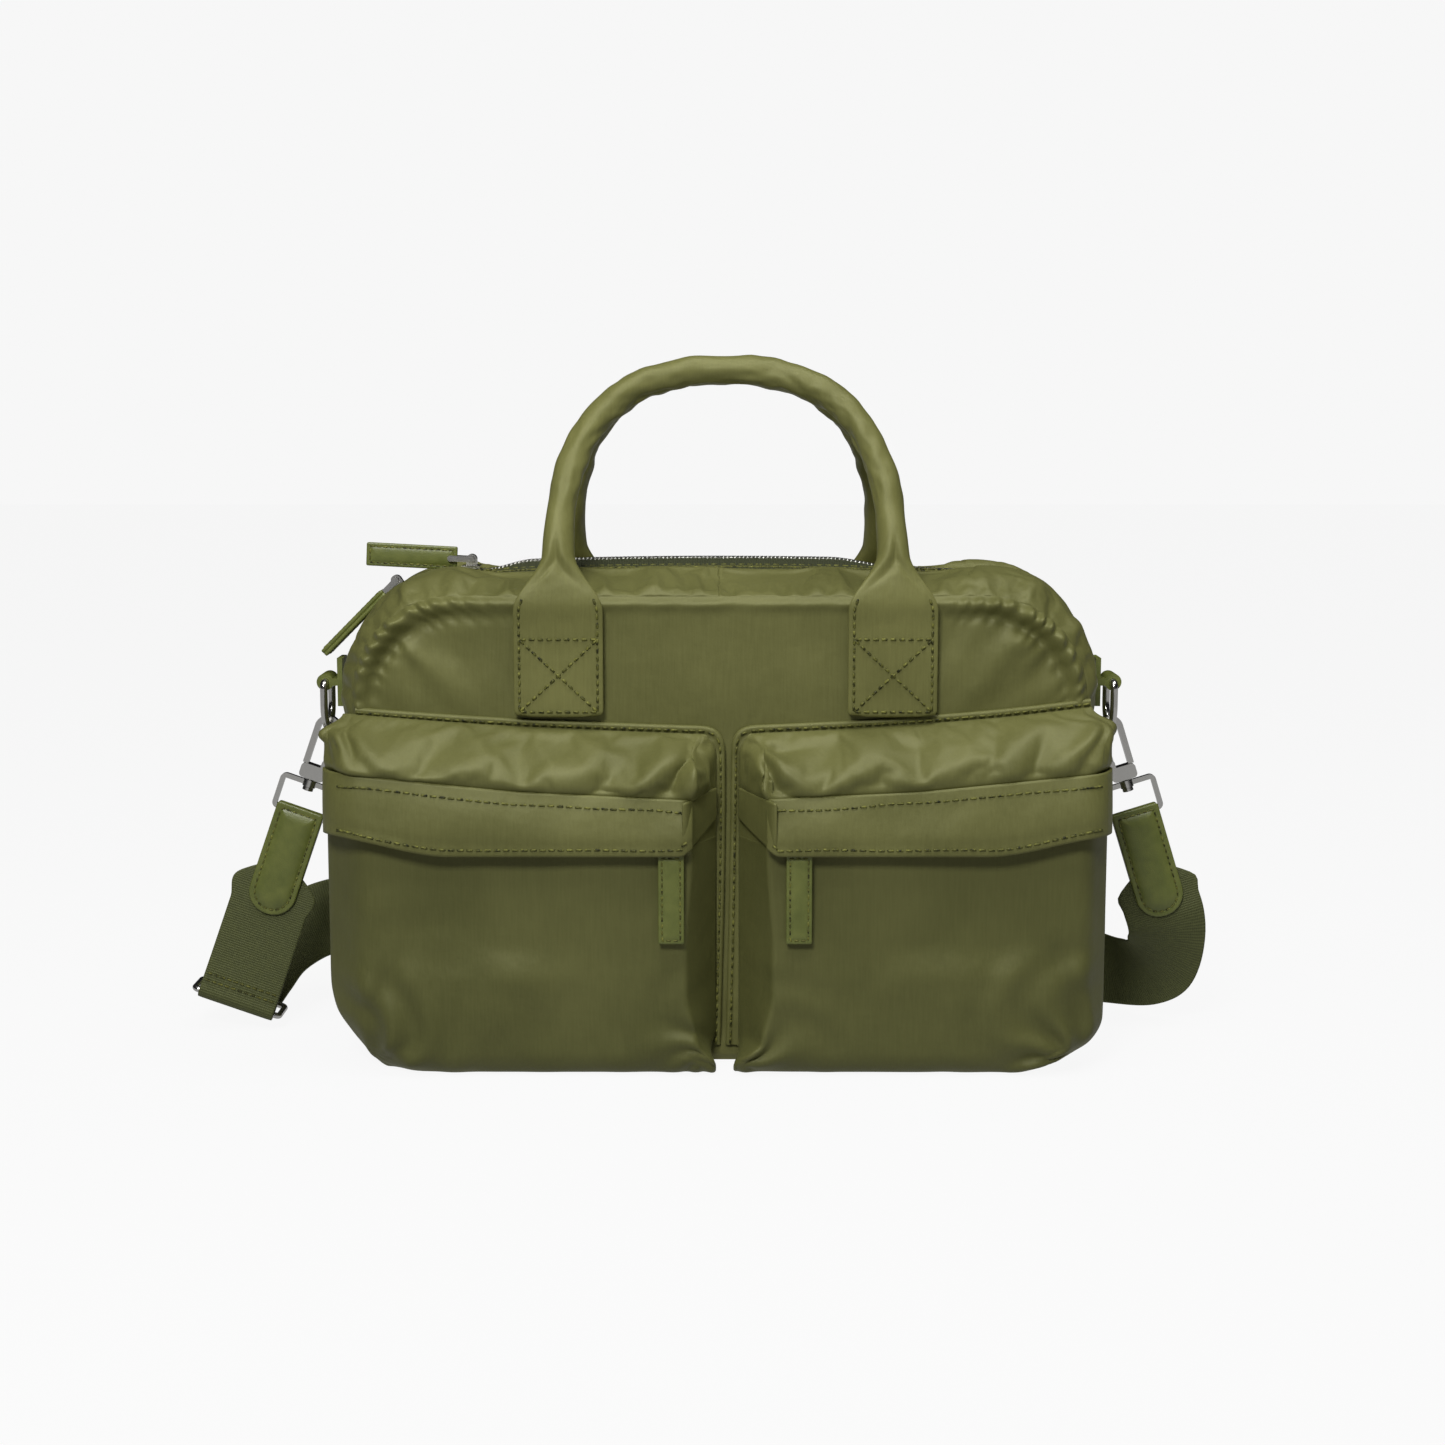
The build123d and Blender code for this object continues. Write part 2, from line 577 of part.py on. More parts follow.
for name, side in SIDES.items():
    plane = tilted_plane(name)
    inner = -side
    with BuildPart() as hook:
        with BuildSketch(plane):
            with Locations((0, EYE_DROP)):
                Circle(HOOK_R)
            with Locations((0, (EYE_DROP + HOOK_BLOCK_TOP) / 2)):
                Rectangle(2 * HOOK_R, EYE_DROP - HOOK_BLOCK_TOP)
            with Locations((0, EYE_DROP)):
                Circle(EYE_R, mode=Mode.SUBTRACT)
            with Locations((0, (EYE_DROP + HOOK_BLOCK_TOP) / 2)):
                Rectangle(2 * EYE_R, EYE_DROP - HOOK_BLOCK_TOP, mode=Mode.SUBTRACT)
            with Locations((inner * (HOOK_R + EYE_R) / 2, (NOSE_LOW + HOOK_BLOCK_TOP) / 2)):
                Rectangle(HOOK_R - EYE_R + 1, NOSE_LOW - HOOK_BLOCK_TOP, mode=Mode.SUBTRACT)
        extrude(amount=HOOK_HALF_Y, both=True)
        with BuildSketch(plane):
            with Locations((0, (HOOK_BLOCK_TOP + HOOK_BLOCK_LOW) / 2)):
                RectangleRounded(2 * HOOK_R, HOOK_BLOCK_TOP - HOOK_BLOCK_LOW, 2.0)
        extrude(amount=CHEEK_OUT, both=True)
        for start in (CHEEK_IN, -CHEEK_OUT):
            with BuildSketch(plane.offset(start)):
                with Locations((inner * GATE_X, GATE_PIVOT)):
                    Circle(1.6)
                with Locations((inner * GATE_X, GATE_PIVOT - 2.0)):
                    Rectangle(3.2, 4.0)
            extrude(amount=CHEEK_OUT - CHEEK_IN)
        with BuildSketch(plane):
            with Locations((inner * GATE_X, GATE_PIVOT)):
                Circle(RIVET_R)
        extrude(amount=CHEEK_OUT + 1, both=True, mode=Mode.SUBTRACT)
        with BuildSketch(across_plane(plane, HOOK_BLOCK_LOW + 1.0)):
            Circle(STEM_R)
        extrude(amount=HOOK_BLOCK_LOW + 1.0 - BOSS_LOW + 1.8)
        with BuildSketch(across_plane(plane, BOSS_LOW - 0.3)):
            Circle(2.6)
        extrude(amount=1.6)
    keep(hook, f"hook_{name}")
    with BuildPart() as gate:
        with BuildSketch(plane):
            with Locations((inner * GATE_X, (GATE_TOP + GATE_PIVOT) / 2)):
                Rectangle(2.8, GATE_TOP - GATE_PIVOT)
            with Locations((inner * GATE_X, GATE_PIVOT)):
                Circle(1.4)
            with Locations((inner * GATE_X, GATE_PIVOT)):
                Circle(RIVET_R + 0.06, mode=Mode.SUBTRACT)
        extrude(amount=HOOK_HALF_Y - 0.1, both=True)
    keep(gate, f"gate_{name}")
    with BuildPart() as rivet:
        with BuildSketch(plane):
            with Locations((inner * GATE_X, GATE_PIVOT)):
                Circle(RIVET_R)
        extrude(amount=CHEEK_OUT, both=True)
        for start in (CHEEK_OUT, -CHEEK_OUT - 0.6):
            with BuildSketch(plane.offset(start)):
                with Locations((inner * GATE_X, GATE_PIVOT)):
                    Circle(1.5)
            extrude(amount=0.6)
    keep(rivet, f"gate_rivet_{name}")

# ---- strap ends: swivel loops, leather tabs, webbing, ring, slide ----
LOOP_WIDE, LOOP_TOP, LOOP_LOW = 28.4, -28.0, -46.0
with BuildPart() as swivel_loops:
    for name in SIDES:
        plane = tilted_plane(name)
        with BuildSketch(plane):
            with Locations((0, (LOOP_TOP + LOOP_LOW) / 2)):
                RectangleRounded(LOOP_WIDE, LOOP_TOP - LOOP_LOW, 3.0)
                RectangleRounded(LOOP_WIDE - 2 * LOOP_WIRE, LOOP_TOP - LOOP_LOW - 2 * LOOP_WIRE, 0.2,
                                 mode=Mode.SUBTRACT)
        extrude(amount=LOOP_WIRE / 2, both=True)
        with BuildSketch(across_plane(plane, BOSS_TOP)):
            Circle(BOSS_R)
        extrude(amount=BOSS_TOP - BOSS_LOW)
        with BuildSketch(across_plane(plane, BOSS_TOP + 1)):
            Circle(STEM_R + 0.08)
        extrude(amount=BOSS_TOP - BOSS_LOW + 2, mode=Mode.SUBTRACT)
keep(swivel_loops, "swivel_loops")

BAR_AT = LOOP_LOW + LOOP_WIRE / 2
LEATHER_HALF_Y = 2.5
WEB_START = -75.0
for name in SIDES:
    plane = tilted_plane(name)
    top = BAR_AT + LOOP_WIRE / 2 + 1.4
    round_at = -LEATHER_TIP + LEATHER_WIDE / 2
    with BuildPart() as leather:
        with BuildSketch(plane):
            with Locations((0, (top + round_at) / 2)):
                Rectangle(LEATHER_WIDE, top - round_at)
            with Locations((0, round_at)):
                Circle(LEATHER_WIDE / 2)
        extrude(amount=LEATHER_HALF_Y, both=True)
        with BuildSketch(plane):
            with Locations((0, BAR_AT)):
                Rectangle(LEATHER_WIDE + 1, LOOP_WIRE + 0.1)
        extrude(amount=LOOP_WIRE / 2 + 0.05, both=True, mode=Mode.SUBTRACT)
        with BuildSketch(plane):
            with Locations((0, (WEB_START - LEATHER_TIP) / 2 - 2)):
                Rectangle(WEB_WIDE + 2, LEATHER_TIP + WEB_START + 4)
        extrude(amount=WEB_THICK / 2 + 0.05, both=True, mode=Mode.SUBTRACT)
    keep(leather, f"leather_tab_{name}")

SHOULDER_IN, SHOULDER_AT = 10.5, -81.0
left_plane = tilted_plane("left")
with BuildPart() as short_webbing:
    with BuildSketch(left_plane):
        Polygon((-SHOULDER_IN, WEB_START), (SHOULDER_IN, WEB_START),
                (WEB_WIDE / 2, SHOULDER_AT), (WEB_WIDE / 2, -FOLD_AT + 1.9),
                (-WEB_WIDE / 2, -FOLD_AT + 1.9), (-WEB_WIDE / 2, SHOULDER_AT), align=None)
    extrude(amount=WEB_THICK / 2, both=True)
    fold = Plane(left_plane.from_local_coords((-WEB_WIDE / 2, -FOLD_AT, 0)),
                 z_dir=left_plane.x_dir)
    with BuildSketch(fold):
        Circle(1.6 + WEB_THICK)
        Circle(1.6, mode=Mode.SUBTRACT)
    extrude(amount=WEB_WIDE)
keep(short_webbing, "short_webbing")

RING_HALF = 21.5
ring_plane = Plane(left_plane.from_local_coords((0, -FOLD_AT, -STRAP_RING_DEPTH / 2)),
                   x_dir=left_plane.x_dir, z_dir=left_plane.y_dir)
with BuildPart() as strap_ring:
    half = STRAP_RING_DEPTH / 2
    with BuildLine(ring_plane) as wire:
        FilletPolyline((-RING_HALF, half), (-RING_HALF, -half), (RING_HALF, -half),
                       (RING_HALF, half), radius=2.2, close=True)
    with BuildSketch(Plane(wire.line @ 0, z_dir=wire.line % 0)):
        Circle(1.5)
    sweep(path=wire.line)
keep(strap_ring, "strap_ring")

# Long webbing, from the ring's rear bar round behind the bag to the right-hand tab.
# Each station is a point of its centre line and the direction across it, from the upper
# edge to the lower one.
right_plane = tilted_plane("right")
rear_bar = left_plane.from_local_coords((0, -FOLD_AT, -STRAP_RING_DEPTH))
below_tab = right_plane.from_local_coords((0, -LEATHER_TIP - 2, 0))
tab_shoulder = right_plane.from_local_coords((0, SHOULDER_AT, 0))
left_across = left_plane.x_dir
right_across = right_plane.x_dir
DOUBLED = 2 * WEB_THICK
stations = [
    (rear_bar + Vector(0, 2.4, 0.3), left_across, DOUBLED),
    (Vector(-232, 36, 20), Vector(0.90, -0.20, -0.40), DOUBLED),
    (Vector(-223, 50, 31), Vector(0.70, -0.38, -0.60), DOUBLED),
    (Vector(-208, 62, 40), Vector(0.42, -0.30, -0.86), DOUBLED),
    (Vector(-186, 71, 44), Vector(0.15, -0.10, -0.98), DOUBLED),
    (Vector(-155, 78, 42), Vector(-0.10, 0.0, -0.99), DOUBLED),
    (Vector(-115, 82, 35), Vector(-0.17, 0.0, -0.98), DOUBLED),
    (Vector(-75, 84, 28), Vector(-0.17, 0.0, -0.98), DOUBLED),
    (Vector(-35, 86, 22.2), Vector(-0.17, 0.0, -0.98), WEB_THICK),
    (Vector(0, 86.5, 21.3), Vector(0, 0, -1), WEB_THICK),
    (Vector(50, 86, 21.2), Vector(0, 0, -1), WEB_THICK),
    (Vector(100, 83, 21.2), Vector(0, 0, -1), WEB_THICK),
    (Vector(140, 76, 21.2), Vector(0, -0.15, -0.98), WEB_THICK),
    (Vector(172, 64, 20.6), Vector(0, -0.35, -0.93), WEB_THICK),
    (Vector(195, 48, 20.0), Vector(0.1, -0.5, -0.86), WEB_THICK),
    (Vector(210, 30, 22.4), Vector(0.45, -0.42, -0.78), WEB_THICK),
    (Vector(217, 15, 30.0), Vector(0.80, -0.15, -0.58), WEB_THICK),
    (Vector(218.5, 5, 43.0), Vector(0.97, 0.0, -0.15), WEB_THICK),
    (below_tab, right_across, WEB_THICK),
    (tab_shoulder, right_across, WEB_THICK),
]
print("long webbing length", round(sum(
    (b[0] - a[0]).length for a, b in zip(stations, stations[1:])), 1))
with BuildPart() as long_webbing:
    for i, (point, across, thick) in enumerate(stations):
        if i == 0:
            along = Vector(0, 1, 0)
        elif point in (below_tab, tab_shoulder):
            along = right_plane.y_dir
        else:
            along = stations[i + 1][0] - stations[i - 1][0]
        with BuildSketch(Plane(point, x_dir=across, z_dir=along)):
            Rectangle(WEB_WIDE, thick)
    loft(ruled=True)
    with BuildSketch(right_plane):
        Polygon((-SHOULDER_IN, WEB_START), (SHOULDER_IN, WEB_START),
                (WEB_WIDE / 2, SHOULDER_AT), (-WEB_WIDE / 2, SHOULDER_AT), align=None)
    extrude(amount=WEB_THICK / 2, both=True)
    rear = Plane(left_plane.from_local_coords((-WEB_WIDE / 2, -FOLD_AT, -STRAP_RING_DEPTH)),
                 z_dir=left_plane.x_dir)
    with BuildSketch(rear):
        Circle(1.6 + WEB_THICK)
        Circle(1.6, mode=Mode.SUBTRACT)
    extrude(amount=WEB_WIDE)
keep(long_webbing, "long_webbing")

# slide that closes the doubled stretch, between the stations at X -115 and -75
SLIDE_LONG, SLIDE_WALL = 24.0, 2.0
slide_from, slide_to = stations[6], stations[7]
slide_along = (slide_to[0] - slide_from[0]).normalized()
slide_middle = (slide_from[0] + slide_to[0]) * 0.5
with BuildPart() as strap_slide:
    start = Plane(slide_middle - slide_along * (SLIDE_LONG / 2), x_dir=slide_from[1],
                  z_dir=slide_along)
    with BuildSketch(start):
        RectangleRounded(WEB_WIDE + 1.4 + 2 * SLIDE_WALL, DOUBLED + 1.4 + 2 * SLIDE_WALL, 1.6)
        Rectangle(WEB_WIDE + 1.4, DOUBLED + 1.4, mode=Mode.SUBTRACT)
    extrude(amount=SLIDE_LONG)
    window = Plane(slide_middle, x_dir=slide_from[1], z_dir=slide_from[1].cross(slide_along))
    with BuildSketch(window):
        for shift in (-6.0, 6.0):
            with Locations((0, shift)):
                RectangleRounded(WEB_WIDE - 2, 7.0, 1.5)
    extrude(amount=20, both=True, mode=Mode.SUBTRACT)
keep(strap_slide, "strap_slide")
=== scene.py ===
import math

import bmesh
import bpy
import numpy as np
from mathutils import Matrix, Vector
from mathutils.bvhtree import BVHTree


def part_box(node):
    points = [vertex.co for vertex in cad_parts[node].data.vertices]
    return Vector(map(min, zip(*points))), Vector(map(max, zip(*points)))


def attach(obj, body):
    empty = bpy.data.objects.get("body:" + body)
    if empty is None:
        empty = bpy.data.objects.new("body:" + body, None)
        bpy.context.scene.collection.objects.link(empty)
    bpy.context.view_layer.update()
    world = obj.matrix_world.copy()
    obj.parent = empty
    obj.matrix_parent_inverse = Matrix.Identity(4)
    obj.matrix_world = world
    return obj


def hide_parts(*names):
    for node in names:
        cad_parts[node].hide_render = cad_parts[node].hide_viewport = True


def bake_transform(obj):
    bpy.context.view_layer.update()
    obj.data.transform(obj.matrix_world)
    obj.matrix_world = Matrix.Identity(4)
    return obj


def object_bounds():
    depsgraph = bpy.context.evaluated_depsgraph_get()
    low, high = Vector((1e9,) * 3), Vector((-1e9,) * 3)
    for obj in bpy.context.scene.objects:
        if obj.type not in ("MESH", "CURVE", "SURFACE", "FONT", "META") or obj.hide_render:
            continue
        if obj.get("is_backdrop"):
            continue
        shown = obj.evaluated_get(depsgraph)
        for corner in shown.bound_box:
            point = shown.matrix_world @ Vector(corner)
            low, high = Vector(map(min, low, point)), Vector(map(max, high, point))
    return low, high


# The looks of a small olive nylon bag: cloth, leather, webbing, thread and metal round the CAD
# frame. Shapes are worked out in millimetres, in the frame's own axes (+X the width, the
# pockets face -Y, +Z up), and become metres when a mesh is made.

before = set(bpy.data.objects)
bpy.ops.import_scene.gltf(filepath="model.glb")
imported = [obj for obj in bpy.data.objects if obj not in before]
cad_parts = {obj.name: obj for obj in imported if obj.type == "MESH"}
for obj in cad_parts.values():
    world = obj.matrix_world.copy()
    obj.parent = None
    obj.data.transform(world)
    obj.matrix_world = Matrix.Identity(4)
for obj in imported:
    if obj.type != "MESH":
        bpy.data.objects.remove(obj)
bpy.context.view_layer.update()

MM = 0.001


def box_mm(node):
    """Lowest and highest corner of a CAD node, in millimetres."""
    low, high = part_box(node)
    return low / MM, high / MM


# ---- sizes taken from the frame ----
panel_high = box_mm("front_panel")[1]
crown_low, crown_high = box_mm("upper_gusset_front")
tab_low, tab_high = box_mm("handle_tabs")
flap_high = box_mm("pocket_left_flap")[1]
ring_high = box_mm("strap_ring")[1]
PANEL_HALF, PANEL_TOP, SEAM_Y = panel_high.x, panel_high.z, abs(panel_high.y)
RISE = crown_high.z - PANEL_TOP  # from the panels' outline out to the crown between them
CROWN_TOP = PANEL_TOP + RISE
BASE_R, BASE_R_CROWN, TOP_R = 22.0, 26.0, 48.0  # corners of the outline, seen from the front
UPPER_Z = crown_low.z  # where the top gusset meets the sides
POCKET_BACK = 52.2  # depth of the face that the pockets are sewn to
FLAP_PIVOT_Z = flap_high.z
TAB_HALF = 20.5  # half the width of a handle's sewn end
HANDLE_X = (tab_low.x + tab_high.x) / 2
FOOT = (tab_high.x - tab_low.x) / 2 - TAB_HALF
SIDES = {"left": -1, "right": 1}
FACES = {"front": -1, "back": 1}


# ---- small maths ----
def ramp(a, b, x):
    """0 at a, 1 at b, smooth between."""
    t = np.clip((np.asarray(x, float) - a) / (b - a), 0, 1)
    return t * t * (3 - 2 * t)


def hump(x, centre, width):
    """1 at the centre, falling away within about the width."""
    return np.exp(-(((np.asarray(x, float) - centre) / width) ** 2))


def waves(a, b, size, seed, count=7):
    """Smooth seeded unevenness between about -1 and 1, its features about size across."""
    rng = np.random.default_rng(seed)
    total = np.zeros(np.broadcast(a, b).shape)
    for _ in range(count):
        turn, phase = rng.uniform(0, 2 * math.pi, 2)
        k = 2 * math.pi / (size * rng.uniform(0.7, 1.6))
        total += np.sin(k * (a * math.cos(turn) + b * math.sin(turn)) + phase)
    return total * 1.6 / count


def star_folds(x, z, centre, reach, folds, seed):
    """Folds that run out from a pinched point, deepest near it."""
    dx, dz = x - centre[0], z - centre[1]
    away, turn = np.hypot(dx, dz), np.arctan2(dz, dx)
    swing = 0.5 * np.sin(away / reach * 2.0 + seed)
    return np.cos(folds * (turn + swing) + seed) * np.exp(-away / reach) * ramp(0, reach * 0.25, away)


def unit(v):
    v = np.asarray(v, float)
    return v / np.linalg.norm(v, axis=-1, keepdims=True)


def steps(points, axis=0):
    """Lengths between neighbouring points."""
    return np.linalg.norm(np.diff(points, axis=axis), axis=-1)


def running(lengths):
    """Distance of each point from the first."""
    return np.concatenate([[0], np.cumsum(lengths)])


# ---- meshes ----
def add_object(name, data):
    obj = bpy.data.objects.new(name, data)
    bpy.context.scene.collection.objects.link(obj)
    return obj


def add_mesh(name, points, faces, cloth=None):
    """Object from points in millimetres; cloth coordinates are per face corner, in millimetres."""
    mesh = bpy.data.meshes.new(name)
    mesh.from_pydata((points.reshape(-1, 3) * MM).tolist(), [], faces)
    if cloth is not None:
        layer = mesh.uv_layers.new(name="cloth")
        layer.data.foreach_set("uv", np.stack(cloth, -1).astype(np.float32).ravel())
    mesh.shade_smooth()
    return add_object(name, mesh)


def places(mesh):
    """Places of a mesh's points, in metres, one row each."""
    co = np.empty(len(mesh.vertices) * 3)
    mesh.vertices.foreach_get("co", co)
    return co.reshape(-1, 3)


def grid(name, points, wrap=False, caps=False):
    """Quad mesh from rows x columns of points in millimetres."""
    rows, cols = points.shape[:2]
    index = np.arange(rows * cols).reshape(rows, cols)
    u, v = running(steps(points, 1).mean(0)), running(steps(points).mean(1))
    if wrap:
        index = np.concatenate([index, index[:, :1]], axis=1)
        u = np.append(u, u[-1] + np.linalg.norm(points[:, -1] - points[:, 0], axis=1).mean())
    corners = ((slice(0, -1), slice(0, -1)), (slice(0, -1), slice(1, None)),
               (slice(1, None), slice(1, None)), (slice(1, None), slice(0, -1)))
    gu, gv = np.meshgrid(u, v)
    quads = np.stack([index[c] for c in corners], -1).reshape(-1, 4)
    cloth_u = np.stack([gu[c] for c in corners], -1).ravel()
    cloth_v = np.stack([gv[c] for c in corners], -1).ravel()
    faces = quads.tolist()
    if caps:
        faces += [list(range(cols))[::-1], list(range((rows - 1) * cols, rows * cols))]
        cloth_u = np.concatenate([cloth_u, u[:cols][::-1], u[:cols]])
        cloth_v = np.concatenate([cloth_v, np.zeros(cols), np.full(cols, v[-1])])
    return add_mesh(name, points, faces, (cloth_u, cloth_v))


def loft(name, stations, around):
    """Tube through stations (centre, across, out, half width, half depth, squareness)."""
    turn = np.linspace(0, 2 * math.pi, around, endpoint=False)
    rows = []
    for centre, across, out, half_wide, half_deep, square in stations:
        c, s = np.cos(turn), np.sin(turn)
        a = np.sign(c) * np.abs(c) ** (2 / square) * half_wide
        b = np.sign(s) * np.abs(s) ** (2 / square) * half_deep
        rows.append(np.asarray(centre) + np.outer(a, unit(across)) + np.outer(b, unit(out)))
    return grid(name, np.array(rows), wrap=True, caps=True)


def bake(obj):
    """Give the object the mesh that its modifiers make."""
    graph = bpy.context.evaluated_depsgraph_get()
    mesh = bpy.data.meshes.new_from_object(obj.evaluated_get(graph))
    obj.modifiers.clear()
    obj.data = mesh
    return obj


def refine(obj, levels=1, thick=0.0, offset=-1.0):
    """Subdivide a cloth, and give it thickness if asked."""
    if levels:
        sub = obj.modifiers.new("sub", "SUBSURF")
        sub.levels = sub.render_levels = levels
    if thick:
        shell = obj.modifiers.new("shell", "SOLIDIFY")
        shell.thickness, shell.offset = thick * MM, offset
    return bake(obj)


def join(name, objects):
    """One object from several."""
    with bpy.context.temp_override(active_object=objects[0], selected_editable_objects=objects):
        bpy.ops.object.join()
    objects[0].name = name
    return objects[0]


# ---- cloth simulation ----
queue = []  # cloths that wait for the simulation, each with its cap


def drape(obj, pinned, grow=0.03, pressure=1.0, cap=5.0, bend=0.3):
    """Queue a cloth with its pinned points for the one simulation that all of them share."""
    group = obj.vertex_groups.new(name="pin")
    group.add(np.flatnonzero(pinned.ravel()).tolist(), 1.0, "REPLACE")
    cloth = obj.modifiers.new("cloth", "CLOTH")
    s = cloth.settings
    s.quality, s.mass, s.air_damping = 6, 0.15, 4.0
    s.tension_stiffness = s.compression_stiffness = 20
    s.shear_stiffness, s.bending_stiffness = 8, bend
    s.vertex_group_mass = "pin"
    s.shrink_min = s.shrink_max = -grow
    s.use_pressure, s.uniform_pressure_force = True, pressure
    s.effector_weights.gravity = 0
    cloth.collision_settings.use_collision = False
    cloth.collision_settings.use_self_collision = False
    queue.append((obj, cap * MM))


def border(shape, first, last):
    """Mask of a cloth's side edges, its first rows and its last rows."""
    mask = np.zeros(shape, bool)
    mask[:, :2] = mask[:, -2:] = mask[:first] = mask[-last:] = True
    return mask


def run_drapes(last=22):
    """Simulate every queued cloth together and keep the result, no point moving past its cap."""
    for step in range(1, last + 1):
        bpy.context.scene.frame_set(step)
    graph = bpy.context.evaluated_depsgraph_get()
    for obj, cap in queue:
        before = places(obj.data)
        move = places(obj.evaluated_get(graph).data) - before
        length = np.linalg.norm(move, axis=1, keepdims=True)
        held = cap * np.tanh(length / cap) / np.maximum(length, 1e-9)
        obj.data.vertices.foreach_set("co", (before + move * held).ravel())
    for obj, _ in queue:
        obj.modifiers.clear()
        obj.vertex_groups.clear()
        obj.data.update()


# ---- materials ----
def link(tree, source, target):
    """Connect a node's first output, or an output; a plain number is set instead."""
    if hasattr(source, "outputs"):
        source = source.outputs[0]
    if hasattr(source, "links"):
        tree.links.new(source, target)
    else:
        target.default_value = source


def maths(tree, kind, a, b=0.0):
    node = tree.nodes.new("ShaderNodeMath")
    node.operation = kind
    link(tree, a, node.inputs[0])
    link(tree, b, node.inputs[1])
    return node


def mixed(tree, a, share_a, b, share_b):
    """a and b added, each times its share."""
    return maths(tree, "ADD", maths(tree, "MULTIPLY", a, share_a), maths(tree, "MULTIPLY", b, share_b))


def noise(tree, vector, scale, detail, stretch=(1, 1, 1)):
    mapping = tree.nodes.new("ShaderNodeMapping")
    mapping.inputs["Scale"].default_value = stretch
    tree.links.new(vector, mapping.inputs["Vector"])
    node = tree.nodes.new("ShaderNodeTexNoise")
    node.inputs["Scale"].default_value = scale
    node.inputs["Detail"].default_value = detail
    tree.links.new(mapping.outputs[0], node.inputs["Vector"])
    return node


def sine(tree, value, length):
    """Wave of the given length along a coordinate."""
    return maths(tree, "SINE", maths(tree, "MULTIPLY", value, 2 * math.pi / length))


def spread(tree, value, low, high):
    """Map 0..1 to low..high."""
    node = tree.nodes.new("ShaderNodeMapRange")
    link(tree, value, node.inputs["Value"])
    node.inputs["To Min"].default_value, node.inputs["To Max"].default_value = low, high
    return node


def tinted(tree, factor, dark, light):
    node = tree.nodes.new("ShaderNodeMix")
    node.data_type = "RGBA"
    link(tree, factor, node.inputs["Factor"])
    node.inputs[6].default_value, node.inputs[7].default_value = (*dark, 1), (*light, 1)
    return node.outputs[2]


def bumped(tree, height, strength, distance):
    node = tree.nodes.new("ShaderNodeBump")
    node.inputs["Strength"].default_value = strength
    node.inputs["Distance"].default_value = distance * MM
    link(tree, height, node.inputs["Height"])
    return node


def dress(tree, shader, colour, rough, *bumps):
    """Colour, roughness and bumps (height, strength, distance), the coarse bump first."""
    link(tree, colour, shader.inputs["Base Color"])
    link(tree, rough, shader.inputs["Roughness"])
    before = None
    for bump in bumps:
        node = bumped(tree, *bump)
        if before:
            link(tree, before, node.inputs["Normal"])
        before = node
    link(tree, before, shader.inputs["Normal"])


def new_material(name, **sockets):
    mat = bpy.data.materials.new(name)
    mat.use_nodes = True
    tree = mat.node_tree
    shader = tree.nodes["Principled BSDF"]
    for key, value in sockets.items():
        shader.inputs[key.replace("_", " ")].default_value = value
    place = tree.nodes.new("ShaderNodeTexCoord").outputs["Object"]
    return mat, tree, shader, place


def cloth_axes(tree):
    """Across and along coordinates of a cloth, in millimetres."""
    split = tree.nodes.new("ShaderNodeSeparateXYZ")
    uv = tree.nodes.new("ShaderNodeUVMap")
    uv.uv_map = "cloth"
    tree.links.new(uv.outputs[0], split.inputs[0])
    return split.outputs[0], split.outputs[1]


def nylon(name, dark, light, rough=0.49):
    """Satin nylon: fine weave, watered streaks, coloured highlights."""
    mat, tree, shader, place = new_material(
        name, Sheen_Weight=0.06, Sheen_Roughness=0.35, Sheen_Tint=(0.55, 0.58, 0.25, 1),
        Specular_IOR_Level=0.5, Specular_Tint=(0.95, 0.95, 0.6, 1))
    u, v = cloth_axes(tree)
    weave = maths(tree, "MULTIPLY", sine(tree, u, WEAVE_MM), sine(tree, v, WEAVE_MM))
    streak = noise(tree, place, 1100, 3, (1, 1, 0.06))
    cloud = noise(tree, place, 22, 3)
    tone = spread(tree, mixed(tree, streak, 0.32, cloud, 0.68), -0.9, 1.9)
    dress(tree, shader, tinted(tree, tone, dark, light), spread(tree, streak, rough - 0.05, rough + 0.09),
          (noise(tree, place, 70, 3), 0.5, 1.2), (mixed(tree, weave, 1.0, streak, 1.6), 0.22, 0.06))
    return mat


def leather(name, dark, light):
    """Smooth split leather with a fine pebble and a worn, polished top."""
    mat, tree, shader, place = new_material(name, Coat_Weight=0.12, Coat_Roughness=0.3)
    cells = tree.nodes.new("ShaderNodeTexVoronoi")
    cells.feature = "DISTANCE_TO_EDGE"
    cells.inputs["Scale"].default_value = 1500
    link(tree, place, cells.inputs["Vector"])
    pebble = spread(tree, cells, 0, 1)
    pebble.inputs["From Max"].default_value = 0.35
    cloud = noise(tree, place, 160, 4)
    dress(tree, shader, tinted(tree, spread(tree, cloud, -0.5, 1.5), dark, light),
          spread(tree, cloud, 0.3, 0.55), (cloud, 0.3, 0.35), (pebble, 0.28, 0.12))
    return mat


def ribbed(name, dark, light, rib=1.15, rough=0.62):
    """Webbing and tape: ribs across the length, fine threads along it."""
    mat, tree, shader, place = new_material(
        name, Sheen_Weight=0.1, Sheen_Tint=(0.6, 0.62, 0.3, 1), Specular_IOR_Level=0.3)
    u, v = cloth_axes(tree)
    ribs, threads, fleck = sine(tree, v, rib), sine(tree, u, THREAD_MM), noise(tree, place, 420, 3)
    rows = spread(tree, maths(tree, "ADD", maths(tree, "MULTIPLY", ribs, 0.35), 0.5), 0, 1)
    tone = mixed(tree, rows, 0.6, fleck, 0.5)
    dress(tree, shader, tinted(tree, tone, dark, light), spread(tree, fleck, rough - 0.08, rough + 0.12),
          (mixed(tree, ribs, 1.0, threads, 0.35), 0.5, 0.18))
    return mat


